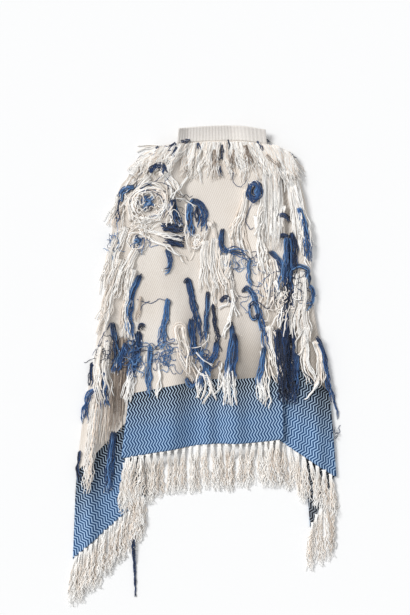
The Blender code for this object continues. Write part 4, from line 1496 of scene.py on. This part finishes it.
@dataclass
class NeckFringe:
    """Short fringe that fans out from the neck seam over the shoulders.

    It is longer on the right, and falls in towards the cloth at its right end.
    """

    path: tuple[Pair, ...] = (
        (-119, 27), (-97, 20), (-52, 12), (11, 7), (78, 7), (138, 14), (160, 19), (184, 31)
    )
    locks: int = 150
    length: float = 88.0
    right_reach: float = 1.25
    right_shares: Pair = (0.6, 0.75)
    last_shares: Pair = (0.78, 0.93)
    width: float = 7.0
    cords: int = 7
    tuck: float = 4.0
    seed: int = 7
    spread: float = 52.0
    middle: float = 30.0
    reach: float = 150.0
    end_share: float = 0.72
    length_spread: Pair = (0.5, 1.12)
    last_cut: float = 0.2
    last_turn: float = 0.25
    curl_spread: float = 30.0
    sway_spread: float = 14.0
    place_spread: Pair = (0.2, 0.8)
    points: int = 20
    tufts: tuple[Hank, ...] = hanks(
        # The brown tufts darken the gaps between the neck fringe's locks.
        Dyes.SHADE_BROWN,
        (11, (245, 146), (247, 156), (251, 166)),
        (8, (233, 150), (232, 158), (234, 165)),
        (11, (266, 156), (272, 162), (277, 170)),
        (8, (214, 150), (215, 158), (214, 167)),
        twist=COLLAR_TWIST,
    ) + hanks(
        Dyes.DARK,
        (5, (198, 143), (199, 151)),
        (5, (222, 145), (222, 152), (221, 162)),
        (4, (228, 140), (231, 149)),
        (4, (220, 166), (221, 177)),
        (5, (257, 142), (262, 152)),
        (4, (264, 139), (270, 143)),
        (7, (176, 144), (171, 148), (166, 151)),
        (8, (159, 148), (154, 152), (150, 156)),
        (7, (190, 140), (185, 142), (181, 143)),
        (6, (177, 148), (175, 153), (173, 158)),
        (5, (143, 156), (139, 159), (136, 163)),
        twist=COLLAR_TWIST,
    )

    def build(self, heights: HeightField, material: bpy.types.Material) -> bpy.types.Object:
        """Lays the locks in mixed order, then the tufts, and makes their piece."""
        pile = YarnPile("fringe_neck_yarn", heights, self.seed)
        rng = pile.rng
        knots = np.linspace(0, 1, len(self.path))
        shares = (np.arange(self.locks) + rng.uniform(*self.place_spread, self.locks)) / self.locks
        roots = spline(knots, np.array(self.path, float), shares)
        for number in rng.permutation(self.locks):
            share, root = shares[number], roots[number]
            at_right = float(smooth_step(*self.right_shares, share))
            at_end = float(smooth_step(*self.last_shares, share))
            jitter = rng.uniform(-self.sway_spread, self.sway_spread)
            heading = self.spread * (root[0] - self.middle) / self.reach + jitter
            heading = heading * (1 - self.last_turn * at_end)
            shorter = 1 - (1 - self.end_share) * abs(2 * share - 1) ** 3
            longer = 1 + (self.right_reach - 1) * at_right * (1 - at_end)
            shortest, longest = self.length_spread
            own = rng.uniform(shortest, longest - self.last_cut * at_end)
            length = self.length * shorter * longer * own
            fall_in = self.last_turn + (1 - self.last_turn) * at_end
            curl = rng.uniform(-self.curl_spread, self.curl_spread) / longer - fall_in * heading
            sway = rng.uniform(-self.sway_spread, self.sway_spread)
            root = root - (0, self.tuck)
            plan = hanging_path(root, length, heading, curl, sway, self.points)
            pile.lay(plan, self.width, self.cords, COLLAR_TWIST, Dyes.COLLAR.value)
        for tuft in self.tufts:
            tuft.lay(pile)
        return pile.build(material)


@dataclass(frozen=True)
class HankRow:
    """The hanks that one row of the weave lets out."""

    node: str
    row: tuple[Hank, ...]

    def build(
        self, heights: HeightField, seed: int, material: bpy.types.Material
    ) -> bpy.types.Object:
        """Lays the hanks in turn and makes their piece."""
        pile = YarnPile(f"{self.node}_yarn", heights, seed)
        for hank in self.row:
            hank.lay(pile)
        return pile.build(material)


# Rows of hanks from the lowest up: the width of each hank, and the marks of its path
ECRU_ROWS = (
    HankRow(
        "bundle_ecru_side",
        hanks(Dyes.STRAW, (44, (104, 392), (103, 412), (101, 430), (100, 444)), twist=FLOAT_TWIST)
        + hanks(
            Dyes.UNDYED,
            (20, (97, 392), (94, 415), (91, 445), (89, 470), (87, 493)),
            twist=MAT_TWIST,
        ),
    ),
    HankRow(
        "bundles_ecru_low",
        # Painted shade: brown floats in the gap along the left pleat.
        hanks(
            Dyes.SHADE_BROWN,
            (34, (120, 335), (119, 362), (118, 390), (115, 431)),
            (16, (125, 335), (124, 365), (122, 400)),
            twist=FLOAT_TWIST,
        )
        + hanks(
            Dyes.UNDYED,
            (18, (100, 345), (97, 365), (99, 385), (103, 404)),
            (14, (108, 340), (106, 360), (107, 380), (110, 400)),
            (9, (146, 355), (144, 366), (141, 378)),
            (15, (185, 334), (183, 325), (178, 325), (177, 340), (183, 357), (193, 374), (199, 381)),
            (12, (183, 326), (186, 340), (189, 358), (187, 376)),
            (24, (268, 325), (270, 345), (275, 365), (281, 382)),
            (10, (274, 330), (280, 345), (283, 362), (280, 380)),
            (20, (306, 325), (304, 345), (306, 365), (313, 384)),
            (16, (314, 340), (319, 355), (321, 370), (318, 388)),
        )
        + hanks(
            Dyes.NEAR_WHITE,
            (8, (130, 376), (128, 390), (126, 404)),
            (6, (158, 362), (160, 378), (156, 398)),
            (4, (222, 362), (220, 378), (218, 392)),
            (12, (262, 350), (264, 370), (266, 390), (264, 408)),
            (4, (302, 328), (296, 343), (297, 366)),
            (3, (306, 338), (298, 356), (290, 364)),
            (5, (289, 322), (288, 338), (291, 354)),
            (6, (318, 380), (312, 392), (304, 399)),
        ),
    ),
    HankRow(
        "bundles_ecru_middle",
        hanks(
            Dyes.UNDYED,
            (24, (122, 258), (113, 285), (106, 310), (100, 335)),
            (18, (134, 268), (129, 290), (126, 312), (124, 338)),
            (12, (221, 265), (216, 285), (213, 300), (212, 318)),
            (24, (224, 254), (224, 268), (227, 284), (230, 300)),
            (30, (262, 262), (264, 280), (266, 298), (266, 316)),
            (22, (272, 258), (274, 275), (272, 293), (268, 309)),
            (20, (295, 272), (294, 290), (290, 312), (288, 338)),
            (18, (303, 270), (302, 292), (299, 315), (297, 335)),
            (16, (304, 276), (305, 300), (306, 322), (309, 342)),
        )
        + hanks(
            Dyes.NEAR_WHITE,
            (7, (231, 288), (233, 303), (229, 320), (223, 338)),
            (4, (232, 300), (236, 309), (239, 318)),
            (3, (229, 296), (225, 306), (218, 309)),
            (10, (274, 280), (279, 292), (281, 312), (276, 328)),
        )
        # Painted shade: a narrow brown hank where the cloth beside the hanks is in shade.
        + hanks(Dyes.SHADE_BROWN, (5, (141, 296), (139, 308), (138, 322))),
    ),
    HankRow(
        "bundles_ecru_waist",
        hanks(
            Dyes.UNDYED,
            (24, (126, 226), (118, 245), (112, 265), (108, 285)),
            (22, (138, 248), (130, 262), (124, 280), (120, 300)),
            (14, (116, 238), (110, 255), (105, 275), (103, 295)),
            (11, (210, 221), (206, 232), (205, 248), (207, 263)),
            (10, (211, 221), (215, 233), (215, 250), (212, 268)),
            (26, (206, 240), (205, 256), (206, 274), (209, 291)),
            (26, (216, 238), (215, 254), (217, 272), (223, 292)),
            (20, (243, 212), (240, 228), (243, 245), (246, 262)),
            (12, (230, 232), (232, 250), (228, 268), (226, 288)),
        )
        + hanks(
            Dyes.NEAR_WHITE,
            (18, (256, 215), (260, 235), (262, 255), (264, 275)),
            (10, (302, 238), (304, 255), (307, 268)),
            (8, (284, 206), (282, 220), (280, 232)),
            (8, (297, 215), (299, 235), (302, 256)),
        ),
    ),
    HankRow(
        "bundles_ecru_yoke",
        hanks(
            Dyes.UNDYED,
            (26, (133, 176), (124, 190), (118, 210), (112, 228)),
            (20, (150, 176), (140, 186), (132, 200), (128, 214)),
            (12, (132, 222), (129, 208), (133, 195), (143, 188), (156, 188), (166, 195)),
            (10, (137, 214), (134, 204), (138, 195), (147, 191), (158, 193), (165, 202), (167, 214)),
            (10, (140, 216), (147, 220), (156, 218), (163, 210), (165, 200)),
            (8, (156, 190), (164, 194), (169, 203), (170, 214)),
            (26, (162, 171), (167, 179), (173, 189), (177, 200)),
            (16, (246, 188), (244, 205), (238, 222), (234, 240)),
        )
        # Painted light: these hanks on the lit right shoulder take the whiter dye.
        + hanks(
            Dyes.NEAR_WHITE,
            (14, (262, 186), (262, 205), (258, 225), (256, 243)),
            (18, (274, 178), (275, 200), (274, 222), (276, 240)),
            (20, (283, 170), (291, 190), (295, 210), (298, 232)),
            (16, (294, 185), (300, 205), (304, 225), (307, 250)),
        )
        # Painted light: the floats on the lit right shoulder take the whiter dye too.
        + hanks(
            Dyes.NEAR_WHITE,
            (44, (270, 160), (272, 190), (272, 220), (271, 250)),
            (30, (289, 165), (294, 190), (298, 215), (301, 240)),
            twist=FLOAT_TWIST,
        )
        + hanks(
            Dyes.NEAR_WHITE,
            (6, (171, 188), (171, 205), (169, 230)),
            (5, (186, 203), (186, 225), (188, 252)),
            (5, (189, 176), (181, 186), (174, 196), (170, 206)),
            (7, (136, 228), (150, 232), (165, 236), (183, 240)),
            (6, (138, 232), (152, 240), (172, 250), (186, 262)),
        ),
    ),
)

BLUE_ROWS = (
    HankRow(
        "bundle_blue_side",
        hanks(
            Dyes.DEEP,
            (13, (114, 430), (112, 446), (110, 464), (109, 480), (108, 493)),
            (10, (107, 391), (98, 389), (90, 393), (86, 407), (84, 424)),
            (11, (104, 370), (105, 388), (107, 409)),
        )
        + hanks(
            Dyes.DARK,
            (6, (80, 450), (78, 465), (79, 482)),
            (6, (92, 362), (91, 374), (90, 386)),
        ),
    ),
    HankRow(
        "bundles_blue_low",
        hanks(
            Dyes.DEEP,
            (13, (127, 342), (124, 352), (119, 362), (114, 374)),
            (11, (191, 318), (192, 334), (196, 352), (204, 366)),
            (10, (217, 340), (214, 356), (207, 368), (204, 382)),
            (7, (186, 377), (191, 386), (199, 379)),
            (13, (296, 352), (295, 370), (293, 386), (291, 400)),
            (8, (315, 335), (322, 348), (326, 366), (328, 384), (334, 404), (336, 420)),
        )
        + hanks(
            Dyes.DIPPED,
            (16, (139, 330), (138, 345), (134, 362), (131, 380), (128, 402)),
            (9, (199, 345), (203, 360), (208, 374), (213, 396)),
            (7, (206, 360), (203, 374), (199, 388), (197, 398)),
            (10, (231, 321), (232, 336), (229, 354), (227, 372), (226, 404)),
            (9, (234, 332), (236, 350), (233, 370), (236, 406)),
            (10, (264, 345), (262, 362), (259, 378), (262, 402)),
        )
        + hanks(Dyes.BRIGHT, (9, (151, 344), (150, 362), (149, 380), (149, 398)))
        + hanks(
            Dyes.DARK,
            (5, (139, 330), (141, 325), (145, 328)),
            # Right pleat's gap: real navy yarn, widened and packed as painted shade.
            (14, (284, 312), (285, 335), (284, 358)),
            (22, (290, 300), (289, 330), (289, 360), (291, 396)),
            (16, (286, 352), (288, 372), (291, 404)),
            (22, (278, 328), (280, 350), (283, 372), (284, 402)),
        ),
    ),
    HankRow(
        "bundles_blue_middle",
        hanks(
            Dyes.DEEP,
            (11, (142, 273), (136, 285), (131, 302), (130, 320), (134, 342)),
            (12, (184, 284), (187, 280), (191, 294), (196, 318), (198, 344)),
            (9, (208, 291), (207, 308), (206, 328), (203, 352)),
            (10, (241, 292), (247, 288), (253, 296), (258, 312), (263, 332), (264, 350)),
            (10, (113, 322), (115, 338), (117, 352), (114, 368)),
        )
        + hanks(
            Dyes.DARK,
            (7, (213, 303), (214, 318), (217, 335), (219, 352)),
            (6, (220, 302), (226, 297), (230, 303)),
            (16, (288, 280), (289, 292), (288, 306), (287, 320)),
        )
        + hanks(
            Dyes.BRIGHT,
            (11, (168, 298), (167, 312), (164, 328), (162, 346)),
            (6, (250, 258), (248, 272), (252, 286)),
            (8, (290, 271), (297, 266), (305, 268), (308, 280), (309, 289)),
            (7, (309, 285), (313, 292), (312, 301), (304, 309)),
        ),
    ),
    HankRow(
        "bundles_blue_waist",
        hanks(
            Dyes.DARK,
            (13, (292, 232), (294, 250), (292, 268), (289, 284)),
            (8, (277, 218), (281, 215), (286, 216), (290, 222)),
            (8, (277, 238), (283, 235), (288, 238)),
        )
        + hanks(
            Dyes.DARK,
            (18, (160, 227), (170, 228), (184, 229)),
            (22, (163, 240), (173, 241), (185, 243)),
            twist=MAT_TWIST,
        )
        + hanks(
            Dyes.DEEP,
            (9, (223, 228), (221, 240), (225, 251), (236, 251), (247, 257)),
            (8, (166, 249), (170, 258), (169, 268), (163, 273)),
            (10, (269, 251), (276, 258), (283, 270), (287, 284)),
        )
        + hanks(Dyes.BRIGHT, (18, (287, 237), (288, 255), (286, 275), (285, 292))),
    ),
    HankRow(
        "bundles_blue_yoke",
        hanks(
            Dyes.DARK,
            (6, (197, 206), (197, 214), (198, 222)),
            (4, (120, 199), (118, 211), (119, 222)),
        )
        + hanks(
            Dyes.DEEP,
            (11, (173, 199), (175, 208), (177, 217), (181, 227)),
            (12, (196, 199), (191, 205), (190, 220), (191, 238)),
            (12, (194, 200), (201, 205), (204, 216), (201, 232)),
        )
        + hanks(
            Dyes.BRIGHT,
            (11, (135, 187), (127, 189), (122, 194), (119, 201)),
            (11, (298, 207), (303, 222), (307, 243), (309, 263)),
        ),
    ),
)

# Fringes from the lowest up: tassels, first and last heading, first and last stretch
HEMS = (
    HemFringe("fringe_front_corner", Part.FRONT_STRIP, 6, 2, -3, 1.5, 1.1),
    HemFringe("fringe_right_wing", Part.RIGHT_WING, 10, 0, 5, under=(Part.FRONT_STRIP,)),
    HemFringe("fringe_left_wing", Part.LEFT_WING, 14, -9, 0, 1.2),
    HemFringe(
        "fringe_left_return", Part.LEFT_RETURN, 5, 0, -3, under=(Part.LEFT_WING,), width=20
    ),
    HemFringe("fringe_right_return", Part.RIGHT_RETURN, 2, 2, 0, under=(Part.RIGHT_WING,)),
    HemFringe(
        "fringe_back",
        Part.BACK,
        23,
        -5,
        2,
        1.05,
        under=(Part.LEFT_RETURN, Part.RIGHT_RETURN),
        first_full=1.9,
    ),
)


@dataclass
class LooseThreads:
    """Arcs, tangles, curls and single threads that lie over the hanks."""

    swirls: tuple[Swirl, ...] = (
        Swirl(Dyes.UNDYED, (148, 204), 9, 20, 10, 1.2),
        # Painted shade: brown arcs under the swirl.
        Swirl(Dyes.SHADE_BROWN, (148, 204), 8, 15, 4, 0.9),
        Swirl(Dyes.BRIGHT, (148, 204), 9, 20, 6, 0.6),
        Swirl(Dyes.NEAR_WHITE, (150, 206), 9, 22, 6, 1.1),
        Swirl(Dyes.UNDYED, (137, 240), 6, 12, 12, 1.2, shift=3.0),
    )
    wads: tuple[Wad, ...] = (
        Wad(Dyes.BRIGHT, (148, 203), (6, 6), 9),
        Wad(Dyes.BRIGHT, (139, 241), (4, 5), 7),
        Wad(Dyes.BRIGHT, (257, 190), (4, 5), 5, 1.1),
        Wad(Dyes.DEEP, (254, 192), (7, 10), 12, 1.1, 0.6),
        Wad(Dyes.DEEP, (253, 311), (5, 9), 7, 1.2, 0.8),
        Wad(Dyes.UNDYED, (197, 243), (6, 6), 6, 1.2),
    )
    curls: tuple[Curls, ...] = (
        Curls(Dyes.DARK, (335, 434), (2, 6), 4, 34),
        Curls(Dyes.BRIGHT, (113, 240), (4, 8), 9, 60),
        Curls(Dyes.BRIGHT, (139, 243), (5, 5), 6, 40, 0, 0.7),
        Curls(Dyes.NEAR_WHITE, (142, 217), (4, 4), 8, 40, 0, 0.8),
        Curls(Dyes.DARK, (160, 205), (15, 12), 5, 90, 60),
        Curls(Dyes.BRIGHT, (245, 255), (10, 5), 8, 70),
        Curls(Dyes.BRIGHT, (230, 258), (8, 4), 6, 60),
        Curls(Dyes.DARK, (110, 345), (8, 10), 10, 90),
        Curls(Dyes.BRIGHT, (260, 280), (14, 12), 9, 80),
        Curls(Dyes.DEEP, (136, 348), (5, 12), 26, 60, 0, 0.9),
        Curls(Dyes.BRIGHT, (164, 347), (7, 7), 20, 55, 0, 0.8),
        Curls(Dyes.BRIGHT, (152, 350), (14, 8), 9, 80),
        Curls(Dyes.DEEP, (205, 358), (8, 8), 9, 60, 0, 0.9),
        Curls(Dyes.DARK, (290, 290), (10, 20), 10, 80),
        Curls(Dyes.NEAR_WHITE, (140, 215), (18, 16), 8, 70, 40, 0.9),
        Curls(Dyes.UNDYED, (150, 205), (14, 14), 6, 70, 0, 1.0),
        Curls(Dyes.UNDYED, (196, 243), (5, 4), 7, 50, 90, 1.0),
        Curls(Dyes.UNDYED, (282, 300), (6, 12), 12, 70, 0, 1.2),
        Curls(Dyes.DARK, (327, 376), (2, 10), 3, 28),
    )
    threads: tuple[Hank, ...] = hanks(
        Dyes.DARK, (10, (150, 174), (153, 169), (158, 166), (164, 169), (166, 175))
    ) + hanks(
        Dyes.DARK,
        (2, (128, 206), (140, 190), (160, 183), (178, 194), (196, 206)),
        (2, (137, 299), (150, 303), (161, 299), (168, 300)),
        (2, (150, 301), (142, 306), (140, 316)),
        (2, (233, 172), (234, 184), (241, 187), (248, 178)),
        (3, (112, 322), (104, 334), (99, 346), (93, 356)),
        (2, (245, 280), (258, 287), (270, 274), (282, 271)),
        (3, (258, 302), (268, 309), (276, 296), (283, 290)),
        (2, (300, 371), (308, 376), (314, 384)),
        (2, (252, 204), (248, 213), (246, 222), (250, 229), (255, 226)),
        (3, (268, 145), (283, 153), (297, 158)),
        (2, (150, 168), (140, 176), (136, 188)),
        (2, (163, 176), (152, 184), (140, 190), (132, 202)),
        twist=THREAD_TWIST,
    ) + hanks(
        Dyes.SHADE_BROWN, (3, (282, 160), (287, 171), (290, 182)), twist=THREAD_TWIST
    ) + hanks(
        Dyes.DARK, (9, (133, 538), (134, 555), (135, 575), (135.5, 597)), twist=POINTED_TWIST
    ) + hanks(
        Dyes.NEAR_WHITE,
        (2, (209, 330), (207, 341), (198, 347), (186, 345), (180, 338)),
        (3, (176, 199), (186, 201), (196, 208)),
        (4, (153, 231), (163, 234), (173, 235), (183, 236)),
        (3, (200, 368), (196, 384), (199, 398)),
        (3, (205, 370), (211, 388), (203, 404)),
        (3, (207, 374), (213, 390), (217, 401)),
        (3, (219, 366), (222, 385), (213, 396)),
        (3, (203, 372), (206, 386), (201, 400)),
        (3, (222, 372), (225, 388), (223, 405)),
        (3, (227, 372), (229, 388), (231, 406)),
        (3, (232, 370), (234, 388), (236, 405)),
        (2, (94, 374), (104, 373)),
        (3, (192, 362), (199, 372), (207, 377)),
        (3, (196, 352), (205, 361), (214, 366)),
        (3, (136, 152), (146, 148), (158, 148)),
        (3, (137, 146), (150, 145), (162, 147)),
        twist=LONE_TWIST,
    )
    bow: float = 2.5
    seed: int = 41

    def build(self, heights: HeightField, material: bpy.types.Material) -> bpy.types.Object:
        """Lays the swirls, wads, curls and threads in that order and makes their piece."""
        pile = YarnPile("loose_threads", heights, self.seed)
        for group in (*self.swirls, *self.wads, *self.curls):
            pile.wind(group.plans(pile.rng), group.radius, self.bow, group.dye.value)
        for thread in self.threads:
            thread.lay(pile)
        return pile.build(material)


@dataclass
class Studio:
    """A plain pale floor, soft light and the camera straight above."""

    camera_height: float = 3.2
    sensor: float = 36.0
    clip_end: float = 50.0
    floor_reach: float = 8.0
    floor_drop: float = 0.0004
    floor_grey: float = 0.93
    floor_roughness: float = 0.95
    floor_specular: float = 0.1
    sun_from: tuple[float, float, float] = (-0.97, 0.55, 1.0)
    sun_strength: float = 2.4
    sun_angle: float = 22.0
    sky_colour: Colour = (0.98, 0.99, 1.0)
    sky_strength: float = 0.55

    def floor(self) -> None:
        """Makes the floor."""
        signs = np.array([(-1, -1), (1, -1), (1, 1), (-1, 1)]) * self.floor_reach
        corners = np.hstack([signs, np.full((4, 1), -self.floor_drop)])
        graph = Graph("pale_floor")
        graph.feed(graph.shader.inputs["Base Color"], (*[self.floor_grey] * 3, 1.0))
        graph.feed(graph.shader.inputs["Roughness"], self.floor_roughness)
        graph.feed(graph.shader.inputs["Specular IOR Level"], self.floor_specular)
        mesh = Mesher.mesh("floor", corners, [np.array([[0, 1, 2, 3]])])
        Mesher.piece(mesh, [graph.material])

    def sun(self) -> None:
        """Adds the soft main light."""
        light = bpy.data.lights.new("soft_sun", "SUN")
        light.energy = self.sun_strength
        light.angle = math.radians(self.sun_angle)
        lamp = bpy.data.objects.new("soft_sun", light)
        across, along, up = (-part for part in self.sun_from)
        tilt = math.atan2(math.hypot(across, along), -up)
        lamp.rotation_euler = (tilt, 0, math.atan2(-across, along))
        bpy.context.scene.collection.objects.link(lamp)

    def camera(self) -> None:
        """Sets the camera over the middle of the photograph's frame, image up along +Y."""
        middle = at_marks([FRAME_MARKS[0] / 2, FRAME_MARKS[1] / 2])
        place = to_frame(np.array([*middle, 0.0]))
        camera = bpy.data.cameras.new("camera")
        camera.sensor_fit = "VERTICAL"
        camera.sensor_height = self.sensor
        camera.lens = self.sensor * self.camera_height / (FRAME_MARKS[1] * MARK_STEP * MM)
        camera.clip_end = self.clip_end
        holder = bpy.data.objects.new("camera", camera)
        holder.location = (place[0], place[1], self.camera_height)
        bpy.context.scene.collection.objects.link(holder)
        bpy.context.scene.camera = holder

    def build(self) -> None:
        """Sets up the whole studio."""
        self.floor()
        self.sun()
        world = bpy.data.worlds.new("soft_light")
        world.use_nodes = True
        background = world.node_tree.nodes["Background"]
        background.inputs["Color"].default_value = (*self.sky_colour, 1.0)
        background.inputs["Strength"].default_value = self.sky_strength
        bpy.context.scene.world = world
        bpy.context.scene.view_settings.view_transform = "Standard"
        self.camera()


def settle_in(piece: bpy.types.Object, slot: str, *nodes: str) -> bpy.types.Object:
    """Lets a piece ride on the shawl's body and stand for its nodes, hiding their parts."""
    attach(piece, "root")
    if nodes:
        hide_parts(*nodes)
    LOG.info("%s: %d faces", piece.name, len(piece.data.polygons))
    return piece


# First seeds of the hem's fringes and of the rows of hanks
HEM_SEED = 100
ROW_SEED = 300

# How far a point raises the ground round it: of the whole cloth, and of a part below a fringe
GROUND_REACH = 3.5
HEM_REACH = 1.0

# How many points each way a part below a fringe has
HEM_POINTS = 420


def lay_fringes(
    layout: ShawlLayout, heights: HeightField, material: bpy.types.Material
) -> list[bpy.types.Object]:
    """Lays the hem's fringes from the lowest up, each on the parts of the cloth below it."""
    grid = np.linspace(0, 1, HEM_POINTS)
    fringes = []
    for seed, hem in enumerate(HEMS):
        for part in hem.under:
            under = layout.points(part, grid, grid)
            heights.raise_ground(under[..., :2], under[..., 2] + layout.thick / 2, HEM_REACH)
        fringe = hem.build(layout, heights, HEM_SEED + seed, material)
        fringes.append(settle_in(fringe, "ecru_yarn", hem.node))
    return fringes


def lay_rows(
    heights: HeightField, ecru: bpy.types.Material, blue: bpy.types.Material
) -> list[bpy.types.Object]:
    """Lays the rows of hanks from the lowest up, in each the cream yarn before the blue."""
    rows = []
    for seed, (cream_row, blue_row) in enumerate(zip(ECRU_ROWS, BLUE_ROWS), ROW_SEED):
        made = cream_row.build(heights, seed, ecru)
        rows.append(settle_in(made, "ecru_yarn", cream_row.node))
        made = blue_row.build(heights, seed, blue)
        rows.append(settle_in(made, "blue_yarn", blue_row.node))
    return rows


def main() -> None:
    """Builds the shawl piece by piece, in the order in which the pieces lie on each other."""
    logging.basicConfig(level=logging.INFO, format="%(message)s")
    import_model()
    Studio().build()
    layout = ShawlLayout()
    heights = HeightField()
    cloth, surface, area = Cloth(layout).build()
    settle_in(cloth, "ecru_cloth", "cloth")
    band = settle_in(NeckBand().build(layout), "ecru_cloth", "neck_band")
    ecru = YarnFinish("ecru_yarn_spun", sheen=0.5).material()
    blue = YarnFinish("blue_yarn_spun", sheen=0.3).material()
    fringes = lay_fringes(layout, heights, ecru)
    heights.raise_ground(surface[..., :2], surface[..., 2] + layout.thick / 2, GROUND_REACH)
    rows = lay_rows(heights, ecru, blue)
    neck = settle_in(NeckFringe().build(heights, ecru), "ecru_yarn", "fringe_neck")
    threads = settle_in(LooseThreads().build(heights, blue), "blue_yarn")


if __name__ == "__main__":
    main()
